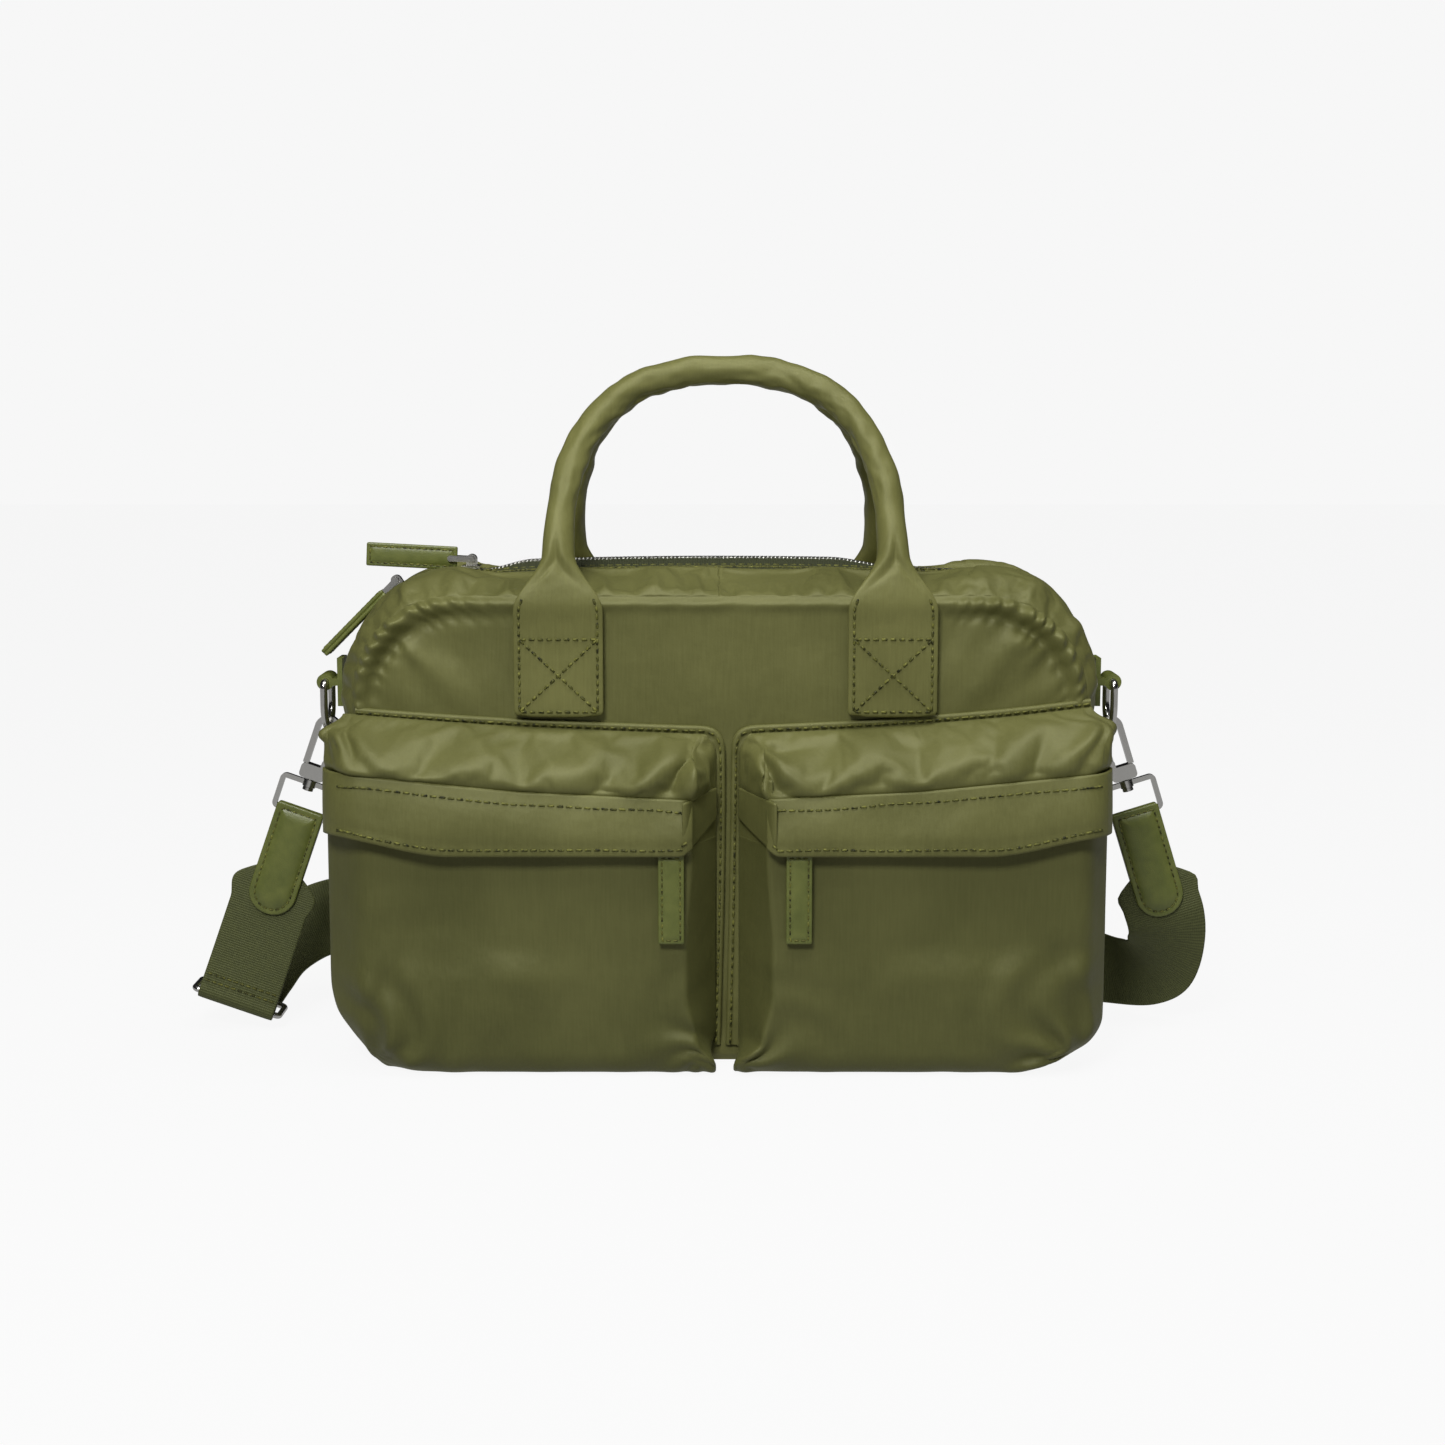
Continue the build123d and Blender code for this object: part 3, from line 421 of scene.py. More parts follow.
def metal(name, colour, rough):
    """Plated metal with faint brushing, handling marks and slight waviness."""
    mat, tree, shader, place = new_material(name, Metallic=1.0)
    brush, marks = noise(tree, place, 1400, 3, (1, 1, 0.08)), noise(tree, place, 260, 4)
    wear = mixed(tree, brush, 0.4, marks, 0.6)
    dress(tree, shader, tinted(tree, marks, [c * 0.82 for c in colour], colour),
          spread(tree, wear, rough * 0.5, rough * 1.6), (marks, 0.12, 0.15))
    return mat


def thread(name):
    """Sewing thread whose tone shifts along a seam between dark and yellow-green."""
    mat, tree, shader, place = new_material(name, Specular_IOR_Level=0.25)
    tone = spread(tree, noise(tree, place, 520, 1), -0.8, 1.8)
    tone.clamp = True
    twist = noise(tree, place, 2600, 2)
    dress(tree, shader, tinted(tree, tone, (0.018, 0.020, 0.006), (0.19, 0.19, 0.04)),
          spread(tree, twist, 0.45, 0.7), (twist, 0.4, 0.15))
    return mat


def plain(name, dark, light, rough, scale):
    """Hidden pieces: a mottled, slightly rough surface."""
    mat, tree, shader, place = new_material(name)
    cloud = noise(tree, place, scale, 4)
    dress(tree, shader, tinted(tree, cloud, dark, light), spread(tree, cloud, rough - 0.1, rough + 0.1),
          (cloud, 0.4, 0.2))
    return mat


WEAVE_MM, THREAD_MM = 0.62, 0.9
NYLON = nylon("olive_nylon_satin", (0.098, 0.099, 0.029), (0.140, 0.140, 0.045))
# Darker copy of the same satin nylon for the side and base strip and the pocket pouches: painted shade, for
# faces that turn away from the lights.
NYLON_PAINTED_SHADE = nylon("olive_nylon_painted_shade", (0.078, 0.080, 0.023), (0.110, 0.111, 0.035), 0.5)
# Lighter copy of the same satin nylon for the handles and their sewn tabs: painted light, as the top lights
# fall on them.
NYLON_HANDLE_PAINTED_LIGHT = nylon("olive_nylon_handle_painted_light", (0.116, 0.116, 0.034), (0.170, 0.169, 0.054), 0.46)
LEATHER = leather("green_leather_smooth", (0.096, 0.115, 0.020), (0.146, 0.164, 0.032))
WEBBING = ribbed("olive_webbing_ribbed", (0.042, 0.049, 0.014), (0.108, 0.118, 0.038))
TAPE = ribbed("zip_tape_woven", (0.020, 0.024, 0.010), (0.050, 0.056, 0.024), 0.8, 0.7)
SILVER = metal("nickel_plate", (0.66, 0.65, 0.62), 0.2)
COIL = metal("silver_coil", (0.72, 0.72, 0.66), 0.3)
THREAD = thread("olive_thread")
LINING = plain("lining_cloth_plain", (0.050, 0.053, 0.026), (0.085, 0.09, 0.045), 0.7, 300)
BOARD = plain("grey_board", (0.05, 0.05, 0.045), (0.10, 0.10, 0.09), 0.75, 200)
FOAM = plain("pale_foam_rope", (0.62, 0.60, 0.55), (0.8, 0.78, 0.72), 0.85, 500)


def paint(obj, mat):
    obj.data.materials.clear()
    obj.data.materials.append(mat)


def settle(obj, mat, slot, nodes=(), body=None, blend=None, fill=None):
    """Material, slot (not used), replaced nodes and the body that a piece moves with; a piece given two
    bodies to blend between is left fixed where it stands.
    """
    paint(obj, mat)
    if nodes:
        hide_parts(*nodes)
    if blend:
        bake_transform(obj)
    else:
        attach(obj, body)
    return obj


# ---- outline of the bag ----
SECTION_LENGTHS = np.array([PANEL_HALF - BASE_R, math.pi / 2 * BASE_R, PANEL_TOP - BASE_R - TOP_R,
                            math.pi / 2 * TOP_R, PANEL_HALF - TOP_R])
OUTLINE_HALF = SECTION_LENGTHS.sum()
SECTION_STOPS = running(SECTION_LENGTHS) / OUTLINE_HALF


def outline(t, crown):
    """(x, z) on the outline. t runs from 0 in the middle of the base, up one side (negative
    on the left) to 1 in the middle of the top; crown widens it from panel seam to crown."""
    t, crown = np.broadcast_arrays(np.asarray(t, float), np.asarray(crown, float))
    side, t = np.sign(t), np.minimum(np.abs(t), 1)
    half, top = PANEL_HALF + crown * RISE, PANEL_TOP + crown * RISE
    low_r, top_r = BASE_R + crown * (BASE_R_CROWN - BASE_R), TOP_R + crown * RISE
    part = np.clip(np.searchsorted(SECTION_STOPS, t, side="right") - 1, 0, 4)
    share = (t - SECTION_STOPS[part]) / np.diff(SECTION_STOPS)[part]
    bend = share * math.pi / 2
    x = np.choose(part, [share * (half - low_r), half - low_r + low_r * np.sin(bend), half,
                         half - top_r + top_r * np.cos(bend), (1 - share) * (half - top_r)])
    z = np.choose(part, [0 * t, low_r * (1 - np.cos(bend)), low_r + share * (top - top_r - low_r),
                         top - top_r + top_r * np.sin(bend), top])
    return side * x, z


def along_side(z):
    """t where the side wall of the outline is at height z."""
    return SECTION_STOPS[2] + (z - BASE_R) / OUTLINE_HALF


CORNER_T = (SECTION_STOPS[3] + SECTION_STOPS[4]) / 2


def fullness(y):
    """How far the gusset stands out at depth y: 0 at a panel seam, 1 at the middle."""
    q = np.abs(y) / SEAM_Y
    return (1 - q) * (1 + 0.55 * q)


def gusset(t, y):
    """Gusset surface on a t x y grid."""
    t, y = np.meshgrid(t, y, indexing="ij")
    x, z = outline(t, fullness(y))
    return t, y, x, z


# ---- panels ----
def panel_steps():
    """Outline positions of a panel, closest together at the gathered corners and the top."""
    t = np.linspace(0, 1, 4001)
    close = 0.32 + 0.62 * hump(t, CORNER_T, 0.1) + 0.25 * ramp(0.7, 0.9, t)
    total = running(close[1:] + close[:-1])
    half = np.interp(np.linspace(0, total[-1], 291), total, t)
    return np.concatenate([-half[::-1], half[1:-1]])


PANEL_INSETS = np.array([0, 0.8, 1.7, 2.7, 3.8, 5.0, 6.3, 7.7, 9.3, 11.3, 14, 17.5, 22, 28, 36, 46, 58,
                         72, 86, 100])
SPINE_HALF = 60  # half the length of the line in the middle that the rings close in to
GATHER_MM = 7.6  # from one gathered fold to the next


def build_panel(face, sign):
    """Front or back panel, with a rolled, gathered edge at the two upper corners."""
    t, inset = panel_steps(), PANEL_INSETS
    bx, bz = outline(t, 0)
    spine_x = np.clip(bx, -SPINE_HALF, SPINE_HALF)
    spine_z = np.full_like(bz, PANEL_TOP / 2)
    reach = np.hypot(bx - spine_x, bz - spine_z)
    share = np.where(inset[:, None] < inset[-1], inset[:, None] / reach, 1)
    x = bx + (spine_x - bx) * share
    z = bz + (spine_z - bz) * share
    d = np.broadcast_to(inset[:, None], x.shape)
    s = np.broadcast_to(t * OUTLINE_HALF, x.shape)
    corner = hump(np.abs(t), CORNER_T + 0.01, 0.075)[None, :]
    top = ramp(0.72, 0.86, np.abs(t)) * (1 - np.clip(corner * 1.3, 0, 1))
    ridge = np.sin(s / GATHER_MM * 2 * math.pi + 2.8 * waves(s, s * 0, 26, 31) + d * 0.25)
    y = SEAM_Y + 1.7 * ramp(0, 3.5, d) + 0.5 * np.sin(np.pi * np.clip(z / PANEL_TOP, 0, 1))
    y += corner * hump(d, 4.4, 3.4) * (4.6 + 1.1 * ridge + 1.6 * waves(s, d, 19, 8))
    y -= corner * hump(d, 10.4, 2.6) * (2.4 + 0.8 * ridge)
    y += corner * ramp(9, 15, d) * np.exp(-np.maximum(d - 12, 0) / 20) * 2.8 * waves(s, d * 0.2, 30, 5)
    y += top * hump(d, 3.4, 2.6) * (1.3 + 0.5 * waves(s, d, 18, 9))
    y += ramp(8, 34, d) * 1.15 * waves(x, z * 1.6, 95, 12 + sign)
    for corner_x, seed in ((-150, 0.4), (152, 1.9)):
        y += ramp(8, 20, d) * 0.8 * star_folds(x, z, (corner_x, 196), 45, 7, seed)
    for foot in (-FOOT, FOOT):
        y -= 0.9 * hump(x, HANDLE_X + foot, 24) * hump(z, 190, 34)
    if face == "front":
        y -= 1.6 * ramp(176, 142, z) * ramp(4, 20, d)
    out = corner * hump(d, 3.6, 3.8) * (1.6 + 0.9 * ridge)
    nx, nz = unit(np.stack([bx - spine_x, bz - spine_z], -1)).T
    points = np.stack([x + nx * out, sign * y, z + nz * out], -1)
    obj = grid(f"{face}_panel_cloth", points[:, ::sign], wrap=True)
    return refine(obj, 1)


# ---- gussets ----
def build_wrap_gusset():
    """Sides and base of the bag in one strip."""
    end = along_side(UPPER_Z + 1)
    t, y, x, z = gusset(np.linspace(-end, end, 171), np.linspace(-SEAM_Y, SEAM_Y, 29))
    wall = ramp(SECTION_STOPS[1], SECTION_STOPS[2], np.abs(t))
    points = np.stack([x, y, np.maximum(z, 0.3)], -1)
    points[..., 0] += np.sign(x) * wall * 0.8 * waves(z, y, 40, 3)
    obj = grid("wrap_gusset_cloth", points)
    edge = (np.abs(y) > SEAM_Y - 0.1) | (np.abs(t) > end - 0.002) | (z < 1)
    drape(obj, edge, grow=0.02, pressure=0.6, cap=2.5)
    return obj


ZIP_EDGE = 5.2  # from the middle of the zip to the cloth's edge
ZIP_STITCH_ROWS = (7.4, 11.6)
ZIP_STOP_DEGREES = 73  # how far round each upper corner the zip runs
ZIP_END = SECTION_STOPS[3] + (SECTION_STOPS[4] - SECTION_STOPS[3]) * (90 - ZIP_STOP_DEGREES) / 90
MIDDLE_TOP = along_side(UPPER_Z - 1)
TOOTH_PITCH = 1.9


def lifted(x, z, lift):
    """Gusset points moved along the surface's outward direction."""
    centre_x, centre_z = PANEL_HALF - TOP_R, PANEL_TOP - TOP_R
    straight = z < centre_z
    normal = unit(np.stack([np.where(straight, np.sign(x), x - np.clip(x, -centre_x, centre_x)),
                            np.where(straight, 0, z - centre_z)], -1))
    return x + normal[..., 0] * lift, z + normal[..., 1] * lift


def zip_rise(x):
    """The closed zip stands up a little between its two ends."""
    return 3.4 * ramp(-111, -88, x) * ramp(86, 52, x)


def swell(x, y):
    """The full bag pushes the middle of its top up."""
    return 3.6 * np.clip(1 - (x / 138) ** 2, 0, 1) * ramp(SEAM_Y, 14, y)


def over_the_top(count):
    """Outline positions from the right side, over the top, to the left side, and distances."""
    right = np.linspace(MIDDLE_TOP, 1, count)
    t = np.concatenate([right, -right[::-1][1:]])
    return t, np.where(t > 0, t - 1, 1 + t) * OUTLINE_HALF


def build_top_cloth(face, sign):
    """Half of the top gusset, from the zip's edge to a panel seam, gathered at the seam. Past
    the zip's ends it closes, and the full bag pushes it up at both corners."""
    t, s = over_the_top(170)
    s = s[:, None]
    y = np.concatenate([np.linspace(ZIP_EDGE, 15, 7), np.linspace(17.5, SEAM_Y, 18)])
    t, y = np.meshgrid(t, y, indexing="ij")
    edge = 0.1 + (ZIP_EDGE - 0.1) * ramp(ZIP_END - 0.012, ZIP_END + 0.02, np.abs(t))
    y = SEAM_Y - (SEAM_Y - y) * (SEAM_Y - edge) / (SEAM_Y - ZIP_EDGE)
    x, z = outline(t, fullness(y))
    near_seam = ramp(24, 43, y) * ramp(SEAM_Y, SEAM_Y - 3, y)
    lift = near_seam * (1.6 + 2.1 * waves(s, y * 0.15, 19, 41 + sign) + 0.8 * waves(s, y * 0.1, 7, 43))
    lift += ramp(15, 25, y) * ramp(SEAM_Y, 38, y) * 1.1 * waves(s, y * 0.6, 34, 17)
    beside_zip = ramp(ZIP_END - 0.03, ZIP_END, np.abs(t))
    lift -= beside_zip * (0.5 * sum(hump(y, row, 1.0) for row in ZIP_STITCH_ROWS) + 1.2 * ramp(17, 14, y))
    lift += 0.4 * beside_zip * hump(y, ZIP_EDGE, 1.2) + zip_rise(x) * 0.2 * ramp(17, 6, y) + swell(x, y)
    corner = hump(np.abs(t), CORNER_T + 0.03, 0.06) * ramp(11, 22, y) * ramp(SEAM_Y, 34, y)
    lift += np.where(t < 0, 4.4, 6.0) * corner
    x, z = lifted(x, z, lift)
    behind_loop = ramp(13, 9, y) * ramp(186, 181, z) * ramp(100, 150, np.abs(x))
    x = x + np.sign(x) * behind_loop * np.maximum(PANEL_HALF + RISE - 0.4 - np.abs(x), 0)
    points = np.stack([x, sign * y, z], -1)
    obj = grid(f"top_cloth_{face}", points[:, ::sign])
    pinned = (y < 15.5) | (y > SEAM_Y - 0.1) | (np.abs(t) < MIDDLE_TOP + 0.003)
    drape(obj, pinned[:, ::sign], grow=0.035, pressure=0.9, cap=3.0, bend=0.2)
    return obj


def cut_sides(obj):
    """The left and right halves of an object, as two."""
    halves = {}
    for side, sign in SIDES.items():
        half = add_object(f"{obj.name}_{side}", obj.data.copy())
        bm = bmesh.new()
        bm.from_mesh(half.data)
        away = [f for f in bm.faces if f.calc_center_median().x * sign < 0]
        bmesh.ops.delete(bm, geom=away, context="FACES")
        bm.to_mesh(half.data)
        bm.free()
        halves[side] = half
    bpy.data.objects.remove(obj)
    return halves


def build_tape(face, sign):
    """Woven zip tape that shows between the cloth and the teeth."""
    t, _ = over_the_top(90)
    t, y, x, z = gusset(t[np.abs(t) > ZIP_END - 0.01], np.linspace(2.2, 15, 9))
    x, z = lifted(x, z, -1.5 + zip_rise(x) * (0.15 + 0.85 * ramp(9, 4, y)) + swell(x, y))
    points = np.stack([x, sign * y, z], -1)
    return refine(grid(f"zip_tape_{face}_cloth", points[:, ::sign]), 0, thick=0.6)


def build_teeth(face, sign):
    """Two slanted rows of zip teeth beside the middle of the zip."""
    t, s = over_the_top(2000)
    keep = np.abs(t) > ZIP_END
    t, s = t[keep], s[keep]
    centres, along = [], []
    for y, slant in ((1.0, 1), (2.9, -1)):
        at = np.arange(s.min() + 1, s.max() - 1, TOOTH_PITCH) + TOOTH_PITCH / 2 * (slant > 0)
        turn = np.interp(at, s, np.where(t < 0, t + 2, t))
        x, z = outline(np.where(turn > 1, turn - 2, turn), fullness(y))
        x, z = lifted(x, z, -1.9 + zip_rise(x) * 1.1 + swell(x, y))
        ahead = np.gradient(np.stack([x, 0 * x, z], -1), axis=0)
        centres.append(np.stack([x, np.full_like(x, sign * y), z], -1))
        along.append(unit(unit(ahead) * 0.75 * slant + np.array([0, sign, 0])))
    centres, along = np.concatenate(centres), np.concatenate(along)
    out = unit(centres - [0, 0, 100])
    return capsules(f"zip_teeth_{face}", centres, along, out, 1.35, 0.72)


# ---- pockets ----
POCKETS = {
    "left": {"seam": -169.0, "outer": -178.0, "face_start": -160.0, "face_end": -15.5, "base_end": -2.0,
             "notch": -5.5},
    "right": {"seam": 169.0, "outer": 176.5, "face_start": 166.0, "face_end": 25.0, "base_end": 9.8,
              "notch": 10.0},
}
POCKET_DEPTH = 26.6
FLAP_DEPTH = 33.4


def rounded(corners, radii, counts):
    """Points along a line of corners, each inner corner rounded; counts per run and arc."""
    corners = [np.asarray(c, float) for c in corners]
    out, start = [], corners[0]
    for i in range(1, len(corners) - 1):
        before, here, after = corners[i - 1], corners[i], corners[i + 1]
        enter = here + unit(before - here) * min(radii[i - 1], 0.48 * np.linalg.norm(before - here))
        leave = here + unit(after - here) * min(radii[i - 1], 0.48 * np.linalg.norm(after - here))
        run = np.linspace(0, 1, counts[2 * i - 2], endpoint=False)[:, None]
        out.append(start + (enter - start) * run)
        a = np.linspace(0, 1, counts[2 * i - 1], endpoint=False)[:, None]
        out.append(enter * (1 - a) ** 2 + 2 * here * a * (1 - a) + leave * a**2)
        start = leave
    run = np.linspace(0, 1, counts[-1])[:, None]
    out.append(start + (corners[-1] - start) * run)
    return np.concatenate(out)


PROFILE_COUNTS = (3, 4, 3, 4, 7, 5, 64, 6, 10)


def pocket_row(shape, depth, outer_in, face_end, base_end, bevel=1.0):
    """One level of a pocket: (x, depth) from its outer seam, over the face, to the centre."""
    side = math.copysign(1, shape["seam"])
    outer = shape["outer"] - side * outer_in
    seam = shape["seam"] - side * outer_in
    start = outer + (shape["face_start"] - shape["outer"]) * bevel
    corners = [(seam, 0), (outer, min(4, depth * 0.3)), (outer, depth * (1 - 0.62 * bevel)),
               (start, depth), (face_end, depth), (base_end, 1.2)]
    return rounded(corners, [3, 3 + 4 * (1 - bevel), 5.0, 1.6], PROFILE_COUNTS)


def at_height(row, z, out=0.0):
    """Points at a height, from an (x, depth) row of a pocket."""
    return np.column_stack([row[:, 0], -POCKET_BACK - row[:, 1] - out, np.broadcast_to(z, len(row))])


def strip(name, row, heights):
    """Upright strip of pocket cloth along an (x, depth) row."""
    return grid(name, np.array([at_height(row, z) for z in heights]))


def outer_inset(side, z):
    """How far the pocket's outer edge is drawn in near the floor."""
    if side < 0:
        return 24 * np.clip((40 - z) / 40, 0, 1) ** 1.8
    return 30 * np.clip((24 - z) / 24, 0, 1) ** 2


def build_pocket_front(name):
    """The pouch below the flap: face, wrapped sides and underside."""
    shape, side = POCKETS[name], SIDES[name]
    levels = [(0.5, d) for d in np.linspace(3, 15, 5)]
    levels += [(0.5 + 11 * (1 - math.cos(a)), 15.6 + 11 * math.sin(a))
               for a in np.linspace(0.12, 1.45, 8)]
    levels += [(z, POCKET_DEPTH) for z in np.linspace(12.5, 107.5, 46)]
    rows = []
    for z, depth in levels:
        low = float(ramp(16, 4, z))
        face_end = shape["face_end"] - side * 2.5 * float(ramp(60, 100, z))
        face_end += (shape["notch"] - face_end) * 0.85 * low - side * 5.0 * float(ramp(40, 14, z))
        base_end = shape["base_end"] + (shape["notch"] - shape["base_end"]) * low
        row = pocket_row(shape, depth, outer_inset(side, z), face_end, base_end)
        rows.append(at_height(row, z))
    points = np.array(rows)
    x, z = points[..., 0], points[..., 2]
    depth = (-points[..., 1] - POCKET_BACK) / POCKET_DEPTH
    middle = (shape["outer"] + shape["face_end"]) / 2
    span = abs(shape["outer"] - shape["face_end"]) / 2
    face = ramp(0.75, 1.0, depth)
    belly = (1 - np.clip(np.abs(x - middle) / span, 0, 1) ** 2.5) * np.sin(np.pi * np.clip(z / 112, 0, 1))
    calm = 0.3 + 0.7 * ramp(35, 75, np.abs(x - shape["face_end"]))
    high = ramp(44, 62, z)
    uneven = waves(x, z * 0.7, 62, 23 + side) * (1 - 0.5 * high) - 0.7 * high
    points[..., 1] -= face * calm * (1.6 * belly * (1 - 0.9 * high) + 1.6 * uneven)
    foot = (shape["outer"] - side * 20, 2)
    points[..., 1] -= 4.2 * depth * star_folds(x, z, foot, 26, 8, 1.3 + side)
    points[..., 0] -= side * 2.2 * depth * star_folds(x, z, foot, 22, 7, 0.4)
    crease = hump(x - (z - 20) * -side * 0.45, shape["face_start"] + side * 2, 5)
    points[..., 1] += face * 2.4 * crease * ramp(75, 25, z)
    inner_foot = (shape["notch"], 9)
    points[..., 1] -= 2.8 * depth * star_folds(x, z, inner_foot, 20, 7, 2.1)
    points[..., 2] = np.maximum(z, 0.4) + 9 * ramp(88, 107, z) * ramp(148, 174, x * side)
    obj = grid(f"pocket_{name}_pouch", points[:, ::side])
    drape(obj, border(x.shape, 3, 2)[:, ::side], grow=0.014, pressure=0.55, cap=2.2, bend=0.5)
    return obj


def edge_slope(name, x):
    """How far the upper lines of a pocket rise towards its outer end, in millimetres."""
    out = SIDES[name] * x
    return 8.0 * np.clip((out - 90) / 80, 0, 1.1) - 4.0 * np.clip((90 - out) / 80, 0, 1.1)


def build_pocket_ends(name):
    """The pocket's cloth beyond both ends of its zip, under the fly."""
    shape, side = POCKETS[name], SIDES[name]
    row = pocket_row(shape, POCKET_DEPTH - 0.4, 0.4, shape["face_end"] - side * 2.5, shape["base_end"])
    out = row[:, 0] * side
    pieces = [strip(f"pocket_{name}_{part}_end", row[keep][::side], np.linspace(103, 137, 15))
              for part, keep in (("outer", out > 168), ("inner", out < shape["face_end"] * side + 1))]
    return refine(join(f"pocket_{name}_ends", pieces), 1, thick=0.9)


def build_pocket_zip(name):
    """Tape and teeth of a pocket zip, following the pocket's face."""
    shape, side = POCKETS[name], SIDES[name]
    row = pocket_row(shape, POCKET_DEPTH - 0.9, 0.4, shape["face_end"] - side * 2.5, shape["base_end"])
    row = row[(row[:, 0] * side < 172) & (row[:, 0] * side > shape["face_end"] * side - 2)]
    tape = strip(f"pocket_{name}_zip_tape", row[::side], np.linspace(105.5, 119.5, 6))
    centres, along, out = [], [], []
    for z, slant in ((111.5, 1), (113.5, -1)):
        middle, ahead = resample(at_height(row, z, 0.5), TOOTH_PITCH)
        centres.append(middle)
        along.append(unit(ahead * 0.6 * slant + np.array([0, 0, 1.0])))
        out.append(np.tile([0, -1.0, 0], (len(middle), 1)))
    teeth = (np.concatenate(part) for part in (centres, along, out))
    return refine(tape, 0, thick=0.6), capsules(f"pocket_{name}_zip_teeth", *teeth, 1.2, 0.6)


TOP_EDGES = {"left": ((-169.5, -130, -90, -50, 2.6), (166.8, 163.6, 161.2, 159.4, 157.6)),
             "right": ((5.6, 55, 91, 135, 169.5), (157.8, 160, 162.4, 166, 170.5))}
TOP_LEVELS = ((0.14, 1.0), (0.155, 2.4), (0.175, 4.6), (0.205, 7.4), (0.25, 10.8), (0.31, 14.4),
              (0.38, 17.8), (0.46, 20.8), (0.545, 23.4), (0.63, 25.4), (0.715, 26.9), (0.8, 28.0),
              (0.87, 28.5), (0.93, 28.3), (0.97, 27.4), (1.0, 26.6), (1.06, 26.7), (1.16, 26.9),
              (1.28, 26.8), (1.4, 26.8))


def puff_base(name, x):
    """Height of the stitched line between a pocket's puffed top and its fly."""
    return 131.2 + edge_slope(name, x)


def build_pocket_top(name):
    """The puffed upper part of a pocket, from its bound top edge to the fly."""
    shape, side = POCKETS[name], SIDES[name]
    rows = []
    for share, depth in TOP_LEVELS:
        tight = float(ramp(0.4, 0.14, share))
        face_end = shape["face_end"] - side * 5 * (1 - tight) * float(ramp(1.2, 0.8, share))
        face_end += (shape["base_end"] + side * 5 - face_end) * 0.8 * tight
        row = pocket_row(shape, depth, 7.0 * tight, face_end, shape["base_end"] + side * 3.5 * tight, 0.8)
        high, base = np.interp(row[:, 0], *TOP_EDGES[name]), puff_base(name, row[:, 0])
        rows.append(at_height(row, high + (base - high) * share))
    points = np.array(rows)
    x, z = points[..., 0], points[..., 2]
    depth = (-points[..., 1] - POCKET_BACK) / 28
    share = np.array([share for share, _ in TOP_LEVELS])[:, None]
    drop = ramp(0.14, 0.3, share) * ramp(1.0, 0.86, share) * ramp(0.05, 0.5, depth)
    inner = (shape["base_end"] + side * 8, 150)
    points[..., 1] -= drop * (1.9 * waves(x * 0.28, z, 26, 51 + side)
                              + 5.0 * star_folds(x, z, inner, 40, 6, 0.9))
    points[..., 2] += drop * (1.2 * waves(x * 0.35, z, 30, 61 + side)
                              + 1.8 * star_folds(x, z, inner, 30, 5, 2.0))
    corner = (shape["outer"] - side * 6, 163)
    points[..., 1] -= drop * 3.4 * star_folds(x, z, corner, 30, 7, 0.3)
    points[..., 0] += side * 3.4 * hump(share, 0.42, 0.16) * hump(x, shape["outer"], 14)
    obj = grid(f"pocket_{name}_puff", points[::-1, ::side])
    drape(obj, border(x.shape, 2, 7)[::-1, ::side], grow=0.05, pressure=1.4, cap=4.0, bend=0.25)
    return obj


def flap_lower(name, x):
    """Height of the flap's lower edge."""
    out, end = SIDES[name] * x, abs(POCKETS[name]["face_end"])
    return 103.4 + 9 * ramp(120, 177, out) + 3.0 * ramp(end + 2, end - 4, out)


def build_flap(name):
    """Double-cloth fly over the pocket zip, hung from the stitched line above it."""
    shape, side = POCKETS[name], SIDES[name]
    inner = shape["face_end"] - side * 3.5
    corners = [(shape["seam"], 2), (shape["outer"] + side * 0.5, 10), (shape["outer"] + side * 0.5, 24),
               (shape["face_start"] + side * 4, FLAP_DEPTH), (inner + side * 3, FLAP_DEPTH),
               (inner, FLAP_DEPTH - 2.5)]
    row = rounded(corners, [4, 9, 8, 2], (3, 3, 3, 5, 5, 6, 60, 3, 2))
    x, depth = row.T
    high, low, hold = puff_base(name, x) + 0.8, flap_lower(name, x), ramp(8, 26, depth)
    points = []
    for share in np.linspace(0, 1, 13):
        z = high + (low - high) * share
        back = 4.9 * (1 - share) ** 1.7 + 0.5 * float(ramp(0.85, 1, share))
        belly = 0.9 * waves(x, z, 50, 71 + side) * math.sin(math.pi * share)
        dip = 0.5 * float(hump(share, 0.83, 0.06))
        points.append(np.column_stack([x, -POCKET_BACK - depth + (back - belly + dip) * hold, z]))
    return refine(grid(f"pocket_{name}_fly", np.array(points)[::-1, ::side]), 1, thick=1.5, offset=0.0)


def build_flap_tail(name):
    """Fixed end of the fly, sewn down beside the centre seam."""
    shape, side = POCKETS[name], SIDES[name]
    start, end, face_end = shape["face_end"] + side * 1.0, shape["base_end"], shape["face_end"]
    points = []
    for share in np.linspace(0, 1, 16):
        x = start + (end - start) * share
        depth = min(FLAP_DEPTH - 1.6, POCKET_DEPTH * (x - end) / (face_end - end) + 5.5) - 1.5 * share
        low, high = 105.4 + 10.5 * share ** 1.3, 127.5 + 2.5 * share
        column = [(x, -POCKET_BACK - depth - 0.8 * math.sin(math.pi * k), low + (high - low) * k)
                  for k in np.linspace(0, 1, 10)]
        points.append(column)
    obj = grid(f"pocket_{name}_fly_tail", np.array(points)[::-side])
    return refine(obj, 1, thick=1.2)


# ---- handles ----
PIVOT_Y, PIVOT_Z = 57.0, 214.2
LEAN = math.radians(21)
HANDLE_AROUND = 40
ARCH_FOOT, ARCH_TOP, ARCH_POWER = 22.0, 112.6, 2.5


